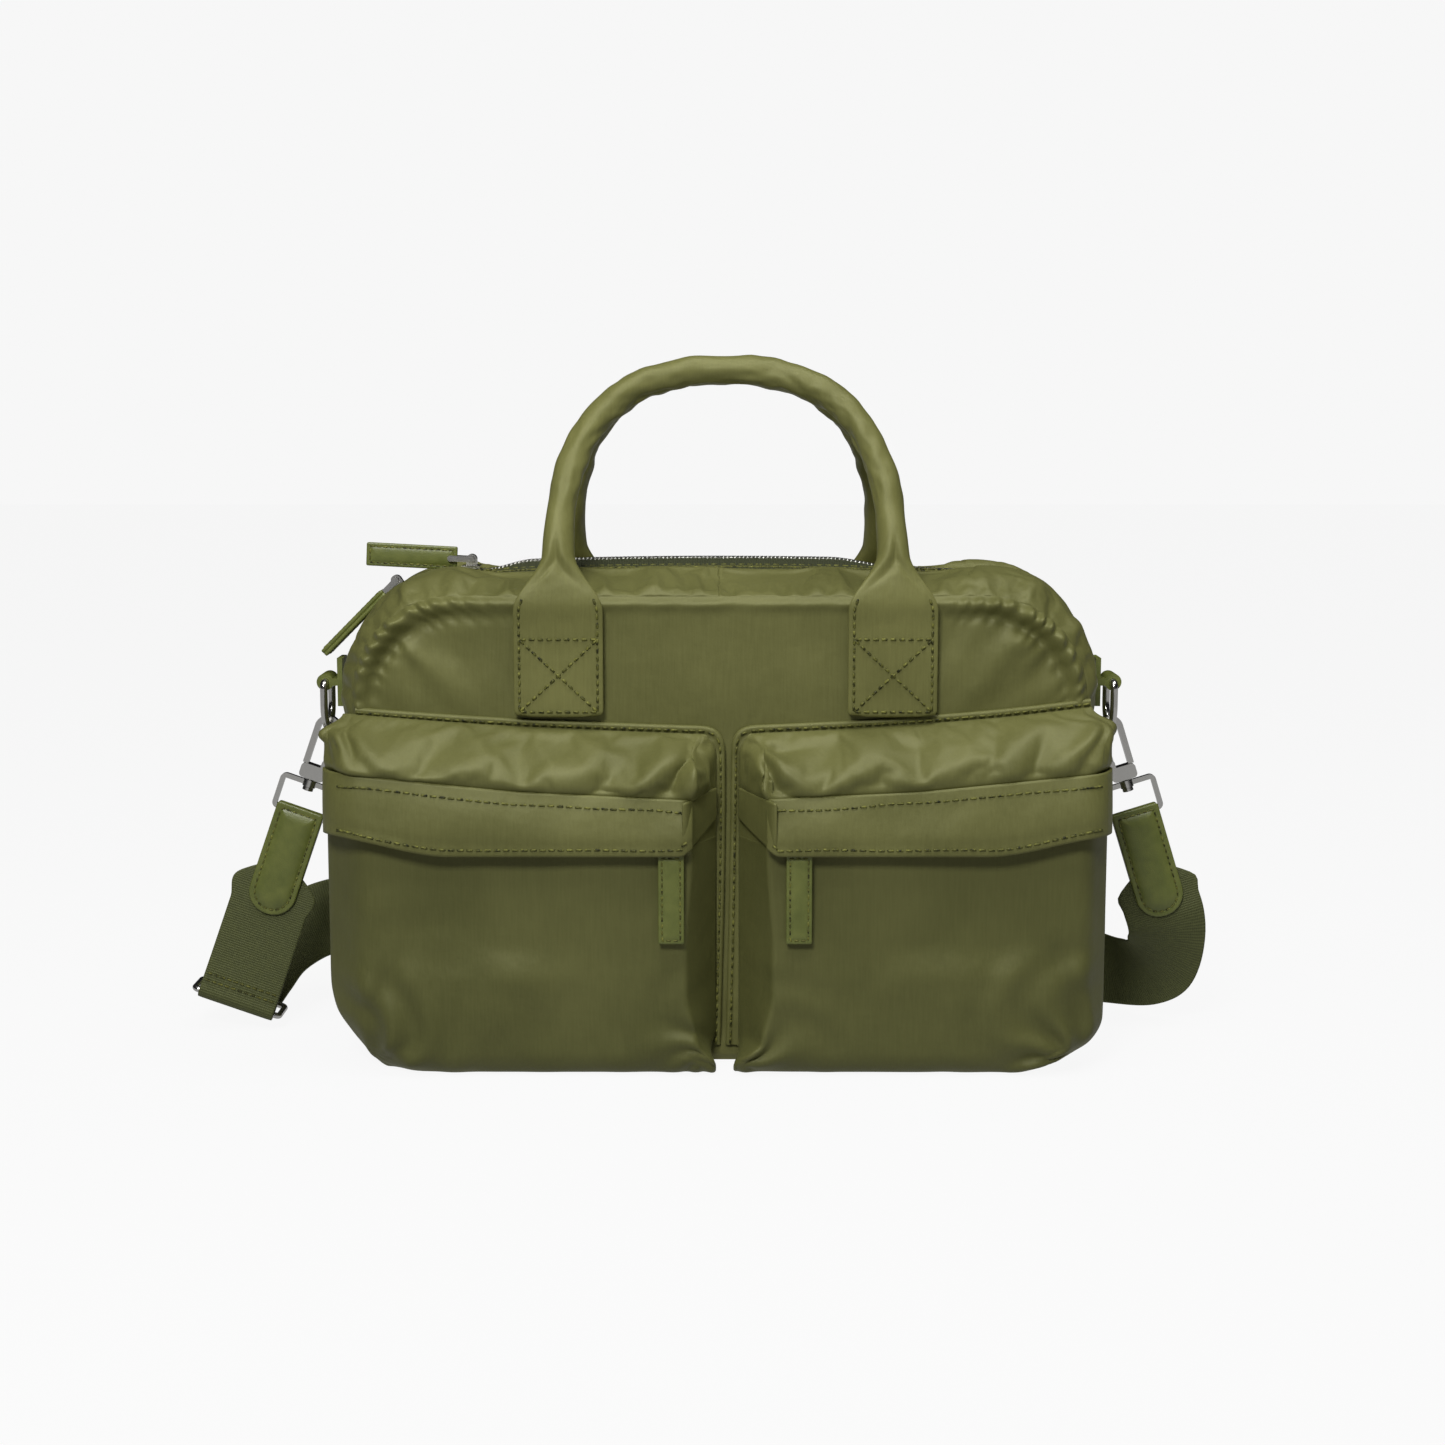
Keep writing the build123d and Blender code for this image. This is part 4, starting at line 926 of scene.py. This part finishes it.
def handle_stations(sign):
    """Stations from one sewn tab, up round the arch, to the other tab."""
    up = np.array([0, -sign * math.sin(LEAN), math.cos(LEAN)])
    plane_out = np.array([0, sign * math.cos(LEAN), math.sin(LEAN)])
    lift = ARCH_TOP - ARCH_FOOT
    left = [(FOOT, tab_low.z - PIVOT_Z + h) for h in np.linspace(0, 46, 16)]
    left += [(FOOT, h) for h in np.linspace(-3.5, ARCH_FOOT - 1.5, 13)]
    turn = np.linspace(0, math.pi / 2, 34)
    arch = [(FOOT * math.cos(a) ** (2 / ARCH_POWER), ARCH_FOOT + lift * math.sin(a) ** (2 / ARCH_POWER))
            for a in turn]
    side = left + arch
    flat = [(-a, h) for a, h in side] + [(a, h) for a, h in side[::-1][1:]]
    centres = []
    for a, h in flat:
        straight = np.array([HANDLE_X + a, sign * 55.2, PIVOT_Z + h])
        leaning = np.array([HANDLE_X + a, sign * PIVOT_Y, PIVOT_Z]) + up * h
        centres.append(straight + (leaning - straight) * float(ramp(-10, 12, h)))
    centres = np.array(centres)
    along = unit(np.gradient(centres, axis=0))
    stations = []
    for (a, h), centre, ahead in zip(flat, centres, along):
        lean = float(ramp(-10, 12, h))
        out = unit(np.array([0, sign, 0]) * (1 - lean) + plane_out * lean)
        tube = float(ramp(0, 24, h))
        half_wide = 20.4 + (7.0 - 20.4) * float(ramp(-3, 25, h)) ** 0.9
        half_deep = 1.35 + (6.9 - 1.35) * float(ramp(2, 28, h))
        across = np.cross(ahead, out)
        stations.append((centre, across, out, half_wide, half_deep, 7.0 + (2.0 - 7.0) * tube ** 0.5))
    return stations, flat


def build_handle(face, sign):
    """Handle cloth in one piece: flat sewn tabs that roll into a padded tube."""
    stations, flat = handle_stations(sign)
    obj = loft(f"handle_cloth_{face}", stations, HANDLE_AROUND)
    mesh = obj.data
    co = places(mesh).reshape(len(stations), HANDLE_AROUND, 3) / MM
    centre = np.array([s[0] for s in stations])[:, None]
    h = np.array([h for _, h in flat])[:, None]
    out = unit(co - centre)
    inward = (out * unit(centre - np.array([HANDLE_X, sign * PIVOT_Y - sign * 20, PIVOT_Z + 40]))).sum(-1)
    length = running(steps(centre[:, 0]))[:, None]
    turn = np.linspace(0, 2 * math.pi, HANDLE_AROUND, endpoint=False)[None, :]
    tube = ramp(12, 30, h)
    inside = 0.55 + 0.45 * np.clip(-inward, 0, 1)
    pull = waves(length + 5 * np.sin(turn), turn * 3.5, 13, 81 + sign)
    gather = (0.25 - np.exp(-((pull * 2.6) ** 2))) * ramp(22, 60, h) * inside
    soft = waves(length, turn * 9, 26, 91 + sign)
    seam = -0.9 * hump(np.angle(np.exp(1j * (turn - math.pi * 1.5))), 0, 0.16)
    twist = ramp(2, 12, h) * ramp(30, 16, h)
    fold = -2.2 * hump(np.angle(np.exp(1j * (turn - 1.1 - (h - 10) * 0.05))), 0, 0.22)
    fold += -1.8 * hump(np.angle(np.exp(1j * (turn - 2.2 + (h - 10) * 0.04))), 0, 0.18)
    co += out * (tube * (1.5 * gather + 0.6 * soft + seam) + twist * fold)[..., None]
    mesh.vertices.foreach_set("co", (co * MM).ravel())
    return refine(obj, 1)


def build_core(face, sign):
    """Foam rope inside the rolled part of a handle."""
    stations, flat = handle_stations(sign)
    inside = [(c, a, o, 4.4, 4.4, 2.0) for (c, a, o, *_), (_, h) in zip(stations, flat) if h > 24]
    return refine(loft(f"handle_core_{face}_foam", inside, 16), 0)


# ---- flat pieces: leather and webbing ----
def own_frame(node, long_hint, face_hint):
    """Middle, (long, wide, face) directions and half sizes of a flat CAD node."""
    co = places(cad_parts[node].data) / MM
    mid = co.mean(0)
    _, axes = np.linalg.eigh(np.cov((co - mid).T))
    face = axes[:, 0] * np.sign(axes[:, 0] @ face_hint)
    best = None
    for turn in np.radians(np.arange(0, 180, 0.25)):
        long = axes[:, 2] * math.cos(turn) + axes[:, 1] * math.sin(turn)
        wide = np.cross(face, long)
        span = np.ptp((co - mid) @ np.stack([long, wide], 1), axis=0)
        if span[0] > span[1] and (best is None or span.prod() < best[0]):
            best = span.prod(), long * np.sign(long @ long_hint)
    long = best[1]
    axes = np.stack([long, np.cross(face, long), face])
    local = (co - mid) @ axes.T
    return mid + (local.max(0) + local.min(0)) / 2 @ axes, axes, np.ptp(local, axis=0) / 2


def plate_outline(half_long, half_wide, start_r, end_r, count=10):
    """Outline of a strip as (long, wide) points, mirrored across its length."""
    upper = []
    for centre, radius, angles in ((half_long - end_r, end_r, (0, 90)),
                                   (-half_long + start_r, start_r, (90, 180))):
        for a in np.radians(np.linspace(*angles, count)):
            upper.append((centre + radius * math.cos(a), half_wide - radius + radius * math.sin(a)))
    upper = np.array(upper)
    run = np.linspace(0, 1, 24)[1:-1, None]
    first, second = upper[:count], upper[count:]
    upper = np.concatenate([first, first[-1] + (second[0] - first[-1]) * run, second])
    return np.concatenate([upper, upper[::-1] * [1, -1]])


def plate_ring(line, half_long, half_wide, inset):
    """The outline drawn in by an inset."""
    middle = np.clip(line[:, 0], -half_long + half_wide, half_long - half_wide)
    spine = np.column_stack([middle, 0 * line[:, 1]])
    return line + (spine - line) * inset / half_wide


def leather_plate(name, place, axes, half, start_r, end_r, dome=0.35, groove=1.7):
    """Two layers of leather glued back to back: domed faces, a groove for the stitches and a
    line between the layers along the edge."""
    half_long, half_wide, thick = half
    line = plate_outline(half_long, half_wide, start_r, end_r)
    face = [(0.0, 0.1), (0.0, thick - 0.35), (0.3, thick - 0.08), (0.8, thick), (groove - 0.5, thick),
            (groove, thick - 0.16), (groove + 0.6, thick + 0.1), (groove + 1.3, thick + dome * 0.6),
            (half_wide * 0.7, thick + dome), (half_wide, thick + dome)]
    levels = [(d, -h) for d, h in face[::-1]] + [(0.28, 0.0)] + face
    rows = []
    for inset, height in levels:
        ring = plate_ring(line, half_long, half_wide, inset)
        local = np.column_stack([ring, np.full(len(ring), height)])
        rows.append(place + local @ axes)
    obj = grid(name, np.array(rows)[:, ::-1], wrap=True)
    bm = bmesh.new()
    bm.from_mesh(obj.data)
    bmesh.ops.remove_doubles(bm, verts=bm.verts, dist=0.01 * MM)
    bmesh.ops.dissolve_degenerate(bm, edges=bm.edges, dist=0.01 * MM)
    bmesh.ops.recalc_face_normals(bm, faces=bm.faces)
    bm.to_mesh(obj.data)
    bm.free()
    return obj


def plate_stitches(name, place, axes, half, start_r, end_r, inset=1.7):
    """Stitches round a leather plate, on both faces."""
    half_long, half_wide, thick = half
    ring = plate_ring(plate_outline(half_long, half_wide, start_r, end_r), half_long, half_wide, inset)
    ring = np.concatenate([ring, ring[:1]])
    centres, along, out = [], [], []
    for side in (1, -1):
        local = np.column_stack([ring, np.full(len(ring), side * (thick - 0.02))])
        middle, ahead = resample(place + local @ axes, 3.1)
        centres.append(middle)
        along.append(ahead)
        out.append(np.tile(side * axes[2], (len(middle), 1)))
    return capsules(name, *(np.concatenate(part) for part in (centres, along, out)), 1.05, 0.42)


def smooth_path(rows, step):
    """Smooth curve through rows whose first three columns are a place, evenly stepped."""
    rows = np.asarray(rows, float)
    run = running(steps(rows[:, :3]))
    slope = np.gradient(rows, run, axis=0)
    at = np.linspace(0, run[-1], int(run[-1] / step) + 2)
    i = np.clip(np.searchsorted(run, at) - 1, 0, len(run) - 2)
    span = (run[i + 1] - run[i])[:, None]
    k = (at - run[i])[:, None] / span
    first = (2 * k**3 - 3 * k**2 + 1) * rows[i] + (k**3 - 2 * k**2 + k) * span * slope[i]
    return first + (3 * k**2 - 2 * k**3) * rows[i + 1] + (k**3 - k**2) * span * slope[i + 1]


def ribbon(name, rows, step=2.5):
    """Webbing through rows of place, across direction, half width and half thickness."""
    path = smooth_path(rows, step)
    place, across = path[:, :3], unit(path[:, 3:6])
    ahead = unit(np.gradient(place, axis=0))
    out = np.cross(ahead, across)
    stations = [(p, a, o, w, t, 9.0) for p, a, o, w, t in zip(place, across, out, path[:, 6], path[:, 7])]
    return loft(name, stations, 20), steps(place).sum()


# ---- pocket bindings ----
def binding_edge(name):
    """Line of a pocket's bound edge in (x, z): along the top, round and down the centre seam."""
    top = {"left": [(-166, 166.5), (-130, 163.6), (-90, 161.2), (-50, 159.4), (2.6, 157.6), (3.3, 120),
                    (2.2, 60), (0.8, 8)],
           "right": [(169.5, 170.5), (135, 166), (91, 162.4), (55, 160), (5.6, 157.8), (5.2, 120),
                     (4.2, 60), (2.9, 8)]}[name]
    corners = [np.array([x, z, 0.0]) for x, z in top]
    return rounded(corners, [40, 40, 40, 11, 30, 40], (6, 6, 6, 6, 6, 6, 8, 10, 14, 6, 14, 6, 14))


def build_binding(name):
    """Folded cloth edge of a pocket, sewn to the panel, and the line of its stitches."""
    side = SIDES[name]
    line = binding_edge(name)
    ahead = unit(np.gradient(line, axis=0))
    inward = np.column_stack([-side * ahead[:, 1], side * ahead[:, 0]])
    profile = [(0.1, -0.6), (0.0, 0.7), (0.3, 1.5), (1.1, 2.0), (2.2, 1.95), (3.3, 1.45), (4.0, 1.4),
               (5.0, 1.8), (6.4, 1.9), (7.8, 1.4), (8.6, 0.4)]
    rows, s = [], running(steps(line))
    for inset, height in profile:
        ripple = 0.25 * waves(s, s * 0 + inset * 0.3, 12, 15)
        place = line[:, :2] + inward * inset
        depth = -SEAM_Y - 1.6 - height - ripple * (height > 0)
        rows.append(np.column_stack([place[:, 0], depth, place[:, 1]]))
    sewn = line[:, :2] + inward * 3.7
    seam = np.column_stack([sewn[:, 0], np.full(len(line), -60.0), sewn[:, 1]])
    return refine(grid(f"pocket_{name}_binding", np.array(rows)[:, ::-side]), 1), seam


# ---- stitching ----
def capsules(name, centres, along, out, half_long, radius, sides=6):
    """Many small capsules in one mesh."""
    across = unit(np.cross(along, out))
    lift = unit(np.cross(across, along))
    rings = ((-1.0, 0.35), (-0.8, 0.9), (0.8, 0.9), (1.0, 0.35))
    turn = np.linspace(0, 2 * math.pi, sides, endpoint=False)
    count = len(centres)
    rows = []
    for reach, wide in rings:
        ring = centres[:, None] + (along * half_long * reach)[:, None]
        ring = ring + across[:, None] * (np.cos(turn) * radius * wide)[None, :, None]
        ring = ring + lift[:, None] * (np.sin(turn) * radius * wide)[None, :, None]
        rows.append(ring)
    points = np.stack(rows, 1)
    faces = []
    per = len(rings) * sides
    for i in range(count):
        base = i * per
        for r in range(len(rings) - 1):
            for k in range(sides):
                a, b = base + r * sides + k, base + r * sides + (k + 1) % sides
                faces.append((a, b, b + sides, a + sides))
        faces.append(tuple(base + k for k in range(sides))[::-1])
        faces.append(tuple(base + (len(rings) - 1) * sides + k for k in range(sides)))
    return add_mesh(name, points, faces)


def resample(line, pitch):
    """Points along a line at an even pitch, in the middle of each stitch, and their directions."""
    line = np.asarray(line, float)
    run = running(steps(line))
    count = max(int(run[-1] / pitch), 1)
    at = (np.arange(count) + 0.5) * run[-1] / count
    ends = [np.column_stack([np.interp(at + d, run, line[:, i]) for i in range(3)]) for d in (-0.6, 0.6)]
    return (ends[0] + ends[1]) / 2, unit(ends[1] - ends[0])


def stitch(name, lines, cloth, pitch=4.0, long=3.0, radius=0.55):
    """Rows of stitches laid on the nearest surface of a piece."""
    tree = BVHTree.FromObject(cloth, bpy.context.evaluated_depsgraph_get())
    centres, along, out = [], [], []
    for line in lines:
        for point, ahead in zip(*resample(line, pitch)):
            place, normal, _, _ = tree.find_nearest(Vector(point * MM))
            place, normal = np.array(place) / MM, np.array(normal)
            if np.dot(normal, point - place) < 0 and np.linalg.norm(point - place) > 0.3:
                normal = -normal
            ahead = ahead - normal * np.dot(ahead, normal)
            centres.append(place + normal * radius * 0.45)
            along.append(unit(ahead))
            out.append(normal)
    return capsules(name, np.array(centres), np.array(along), np.array(out), long / 2, radius)


def sew(name, lines, cloth, *sizes, slot="olive_nylon", **moves):
    """Stitches on a piece, and the body they move with; given two bodies, they stay fixed where they stand.
    """
    settle(stitch(name, lines, cloth, *sizes), THREAD, slot, **moves)


# ---- build: cloth body ----
panels = {face: build_panel(face, sign) for face, sign in FACES.items()}
wrap = build_wrap_gusset()
top_whole = {face: build_top_cloth(face, sign) for face, sign in FACES.items()}
pouches = {name: build_pocket_front(name) for name in POCKETS}
puffs = {name: build_pocket_top(name) for name in POCKETS}
run_drapes()

for obj in (wrap, *pouches.values(), *puffs.values()):
    refine(obj, 1, thick=0.9)
tops = {}
for face in FACES:
    for side, half in cut_sides(refine(top_whole[face], 1)).items():
        tops[face, side] = refine(half, 0, thick=0.9)
flaps = {name: build_flap(name) for name in POCKETS}
ends = {name: build_pocket_ends(name) for name in POCKETS}
tails = {name: build_flap_tail(name) for name in POCKETS}
bindings = {name: build_binding(name) for name in POCKETS}
handles = {face: build_handle(face, sign) for face, sign in FACES.items()}

MOUTH_START, MOUTH_END = 145.0, 85.0


def mouth_blend(face, side):
    sign = SIDES[side]
    return ("bag", f"mouth_{face}", (sign * MOUTH_START, 0, CROWN_TOP), (sign * MOUTH_END, 0, CROWN_TOP))


def handle_blend(face):
    return ("bag", f"{face}_handle", (0, 0, PIVOT_Z - 2.7), (0, 0, PIVOT_Z + 2.3))


def flap_blend(name):
    return ("bag", f"flap_{name}", (0, 0, FLAP_PIVOT_Z + 4.5), (0, 0, FLAP_PIVOT_Z + 0.5))


for face in FACES:
    settle(panels[face], NYLON, "olive_nylon", [f"{face}_panel"], body="bag")
# The side and base strip takes the darker copy of the nylon: painted shade.
settle(wrap, NYLON_PAINTED_SHADE, "olive_nylon", ["wrap_gusset", "seam_piping"], body="bag")
for (face, side), obj in tops.items():
    settle(obj, NYLON, "olive_nylon", [f"upper_gusset_{face}", f"mouth_panel_{face}"],
           blend=mouth_blend(face, side))
for name in POCKETS:
    # The pouches take the darker copy of the nylon: painted shade.
    settle(pouches[name], NYLON_PAINTED_SHADE, "olive_nylon", [f"pocket_{name}_front"], body="bag")
    settle(puffs[name], NYLON, "olive_nylon", [f"pocket_{name}_top"], body="bag")
    settle(tails[name], NYLON, "olive_nylon", body="bag")
    settle(ends[name], NYLON, "olive_nylon", body="bag")
    for piece, mat in zip(build_pocket_zip(name), (TAPE, COIL)):
        settle(piece, mat, "zip_tape" if mat is TAPE else "zip_coil", [f"pocket_{name}_zip"], body="bag")
    settle(bindings[name][0], NYLON, "olive_nylon", ["centre_seam_band"], body="bag")
    settle(flaps[name], NYLON, "olive_nylon", [f"pocket_{name}_flap"], blend=flap_blend(name))
for face in FACES:
    # The handles take the lighter copy of the nylon: painted light.
    settle(handles[face], NYLON_HANDLE_PAINTED_LIGHT, "olive_nylon", [f"handle_{face}", "handle_tabs"], fill=0.8,
           blend=handle_blend(face))
    settle(build_core(face, FACES[face]), FOAM, "handle_core", [f"handle_core_{face}"],
           body=f"{face}_handle")

# ---- build: zip ----
for face, sign in FACES.items():
    for side, half in cut_sides(build_tape(face, sign)).items():
        settle(half, TAPE, "zip_tape", [f"zip_tape_{face}", "zip_tape_ends"], blend=mouth_blend(face, side))
    for side, half in cut_sides(build_teeth(face, sign)).items():
        settle(half, COIL, "zip_coil", [f"zip_coil_{face}", "zip_coil_ends"], blend=mouth_blend(face, side))

# ---- build: leather ----
DOWN, FORWARD, SIDEWAYS = np.array([0, 0, -1.0]), np.array([0, -1.0, 0]), np.array([-1.0, 0, 0])
PULLS = {"zip_pull_1": (SIDEWAYS, FORWARD, "main_pull_1"), "zip_pull_2": (DOWN, SIDEWAYS, "main_pull_2"),
         "pocket_left_pull": (DOWN, FORWARD, "pull_left"), "pocket_right_pull": (DOWN, FORWARD, "pull_right")}
for node, (long_hint, face_hint, body) in PULLS.items():
    place, axes, half = own_frame(node, long_hint, face_hint)
    half[2] -= 0.1
    plate = place, axes, half, 0.8, 0.8
    settle(leather_plate(f"{node}_leather", *plate), LEATHER, "green_leather", [node], body=body)
    settle(plate_stitches(f"{node}_stitches", *plate), THREAD, "green_leather", body=body)
for side in SIDES:
    node = f"leather_tab_{side}"
    place, axes, half = own_frame(node, DOWN, FORWARD)
    plate = place, axes, half, 1.5, half[1] - 0.3
    settle(leather_plate(f"{node}_cover", *plate, 1.0, 2.6), LEATHER, "green_leather", [node], body="strap")
    settle(plate_stitches(f"{node}_stitches", *plate, 2.6), THREAD, "green_leather", body="strap")

# ---- build: webbing ----
HANG = {"left": math.radians(19.5), "right": math.radians(17.5)}
HOOK_X, HOOK_Z = 187.5, 150.4


def on_strap(side, along, depth=0.0):
    """A place on the hanging strap end: distance along it from the ring, and depth."""
    sign, turn = SIDES[side], HANG[side]
    x = sign * HOOK_X - sign * math.sin(turn) * along
    return np.array([x, depth, HOOK_Z + math.cos(turn) * along])


def strap_across(side):
    return np.array([math.cos(HANG[side]), 0, SIDES[side] * math.sin(HANG[side])])


across = strap_across("left")
short_rows = [(*on_strap("left", along, depth), *across, wide, 0.75) for along, depth, wide in
              ((-75, 0, 10.5), (-78, 0, 14.8), (-81.5, 0, 19), (-95, -0.2, 19), (-115, -0.6, 19),
               (-130, -1.2, 19), (-140, -2.1, 19), (-144.5, -2.5, 19), (-147, 0, 19), (-144.5, 2.5, 19),
               (-138, 2.0, 19), (-128, 1.0, 19))]
short, short_length = ribbon("short_webbing_cloth", short_rows, 1.2)
settle(short, WEBBING, "webbing", ["short_webbing"], body="strap")

rows = [np.array([on_strap("left", along, -6) + across * wide for wide in np.linspace(-18, 18, 12)])
        for along in (-134, -137.5)]
sew("short_webbing_stitches", rows, short, 3.2, 2.3, 0.45, slot="webbing", body="strap")
rear = on_strap("left", -144.5, ring_high.y - 1.5)
LONG_STATIONS = [
    ((-232, 36, 20), (0.90, -0.20, -0.40)), ((-223, 50, 31), (0.70, -0.38, -0.60)),
    ((-208, 62, 40), (0.42, -0.30, -0.86)), ((-186, 71, 44), (0.15, -0.10, -0.98)),
    ((-155, 78, 42), (-0.10, 0, -0.99)), ((-115, 82, 35), (-0.17, 0, -0.98)),
    ((-75, 84, 28), (-0.17, 0, -0.98)), ((-35, 86, 22.2), (-0.17, 0, -0.98)),
    ((0, 86.5, 21.3), (0, 0, -1)), ((50, 86, 21.2), (0, 0, -1)), ((100, 83, 21.2), (0, 0, -1)),
    ((140, 76, 21.2), (0, -0.15, -0.98)), ((172, 64, 20.6), (0, -0.35, -0.93)),
    ((195, 48, 20.0), (0.1, -0.5, -0.86)), ((210, 30, 22.4), (0.45, -0.42, -0.78)),
    ((217, 15, 30), (0.80, -0.15, -0.58)), ((218.5, 5, 43), (0.97, 0, -0.15))]
long_rows = [(*(rear + [0, 2.4, 0.3]), *strap_across("left"), 19, 1.5)]
for place, across in LONG_STATIONS:
    long_rows.append((*place, *across, 19, 1.5 if place[0] < -80 and place[1] > 30 else 0.75))
across = strap_across("right")
long_rows += [(*on_strap("right", along), *across, wide, 0.75) for along, wide in
              ((-99, 19), (-90, 19), (-81.5, 19), (-78, 14.8), (-75, 10.5))]
long, long_length = ribbon("long_webbing_cloth", long_rows, 2.5)
settle(long, WEBBING, "webbing", ["long_webbing"], body="strap")

# ---- build: stitching ----
for face, sign in FACES.items():
    for side, side_sign in SIDES.items():
        t = np.linspace(0.78, 0.9995, 260) * side_sign
        rows = []
        for y in ZIP_STITCH_ROWS:
            x, z = outline(t, fullness(y))
            rows.append(np.column_stack([x, np.full_like(x, sign * y), z + 3]))
        sew(f"zip_stitches_{face}_{side}", rows, tops[face, side], blend=mouth_blend(face, side))
    rows = []
    for foot in (-FOOT, FOOT):
        x, y = HANDLE_X + foot, sign * 60
        low, box_top, edge = tab_low.z + 2.8, 198.0, 17.9
        corners = [(x - edge, y, low), (x + edge, y, low), (x + edge, y, box_top), (x - edge, y, box_top)]
        rows += [np.linspace(corners[a], corners[b], 12) for a, b in ((0, 1), (2, 3), (0, 2), (1, 3))]
        for way in (-1, 1):
            rise = np.linspace(low, PIVOT_Z + 3, 40)
            half = edge - 10.5 * ramp(-4, 25, rise - PIVOT_Z) ** 0.9
            rows.append(np.column_stack([x + way * half, np.full_like(rise, y), rise]))
    sew(f"handle_stitches_{face}", rows, handles[face], 3.6, 2.6, 0.62, blend=handle_blend(face))
for name, side in SIDES.items():
    binding, seam = bindings[name]
    sew(f"binding_stitches_{name}", [seam], binding, body="bag")
    shape = POCKETS[name]
    x = np.linspace(shape["outer"] - side * 0.5, shape["face_end"] - side * 3, 200)
    middle = np.column_stack([x, np.full_like(x, -92.0), puff_base(name, x) - 1.9])
    sew(f"puff_stitches_{name}", [middle], flaps[name], blend=flap_blend(name))
    lower = np.column_stack([x, np.full_like(x, -92.0), flap_lower(name, x) + 3.6])
    sew(f"fly_stitches_{name}", [lower], flaps[name], blend=flap_blend(name))

# ---- camera, light and floor ----
CAMERA_AIM = Vector((0, 0, 0.15))
CAMERA_AWAY = 1.1
CAMERA_UP = math.radians(8)
camera = add_object("camera", bpy.data.cameras.new("camera"))
camera.data.lens = 57.04
camera.data.sensor_width = 36
camera.data.shift_x, camera.data.shift_y = 0.0024, 0.0031
back = Vector((0, -math.cos(CAMERA_UP), math.sin(CAMERA_UP)))
camera.location = CAMERA_AIM + back * CAMERA_AWAY
camera.rotation_euler = (-back).to_track_quat("-Z", "Y").to_euler()
bpy.context.scene.camera = camera


def softbox(name, place, aim, size, power):
    light = add_object(name, bpy.data.lights.new(name, "AREA"))
    light.data.shape = "RECTANGLE"
    light.data.size, light.data.size_y = size
    light.data.energy = power
    light.location = place
    light.rotation_euler = (Vector(aim) - Vector(place)).to_track_quat("-Z", "Y").to_euler()


softbox("key_light", (-0.3, -1.2, 1.1), (0, 0, 0.15), (0.4, 0.35), 15)
softbox("top_light", (0.15, -0.35, 1.35), (0, 0, 0.12), (1.2, 0.5), 12)

world = bpy.data.worlds.new("studio")
world.use_nodes = True
bpy.context.scene.world = world
tree = world.node_tree
shade = tree.nodes["Background"]
sky = tree.nodes.new("ShaderNodeSeparateXYZ")
tree.links.new(tree.nodes.new("ShaderNodeTexCoord").outputs["Generated"], sky.inputs[0])
height = spread(tree, sky.outputs[2], 0.04, 0.66)
height.inputs["From Min"].default_value = 0.05
tree.links.new(height.outputs[0], shade.inputs["Strength"])
seen = tree.nodes.new("ShaderNodeBackground")
seen.inputs["Color"].default_value = (0.93, 0.93, 0.93, 1)
path = tree.nodes.new("ShaderNodeLightPath")
mix = tree.nodes.new("ShaderNodeMixShader")
tree.links.new(path.outputs["Is Camera Ray"], mix.inputs[0])
tree.links.new(shade.outputs[0], mix.inputs[1])
tree.links.new(seen.outputs[0], mix.inputs[2])
tree.links.new(mix.outputs[0], tree.nodes["World Output"].inputs["Surface"])
bpy.context.scene.view_settings.view_transform = "Standard"

floor = grid("floor", np.array([[(x, y, 0) for x in np.linspace(-6000, 6000, 3)]
                                for y in np.linspace(-6000, 6000, 3)], float))
mat, tree, shader, place = new_material(
    "pale_floor", Specular_IOR_Level=0.0, Emission_Color=(1, 1, 1, 1))
seen = tree.nodes.new("ShaderNodeLightPath").outputs["Is Camera Ray"]
link(tree, spread(tree, seen, 0.4, 0.916), shader.inputs["Emission Strength"])
tree.links.new(tinted(tree, noise(tree, place, 3, 2), (0.036, 0.036, 0.036), (0.042, 0.042, 0.042)),
               shader.inputs["Base Color"])
shader.inputs["Roughness"].default_value = 0.9
paint(floor, mat)
floor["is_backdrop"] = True

# ---- CAD pieces that stay as they are ----
KEPT = {
    LINING: ["lining"],
    BOARD: ["base_board"],
    LEATHER: ["d_ring_loops"],
    SILVER: ["zip_end_stops", "zip_slider_1", "zip_slider_2", "zip_link_1", "zip_link_2",
             "pocket_left_slider", "pocket_right_slider", "pocket_left_link", "pocket_right_link",
             "d_ring_left", "d_ring_right", "hook_left", "hook_right", "gate_left", "gate_right",
             "gate_rivet_left", "gate_rivet_right", "swivel_loops", "strap_ring", "strap_slide"],
}
for mat, names in KEPT.items():
    for node in names:
        paint(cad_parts[node], mat)

low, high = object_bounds()
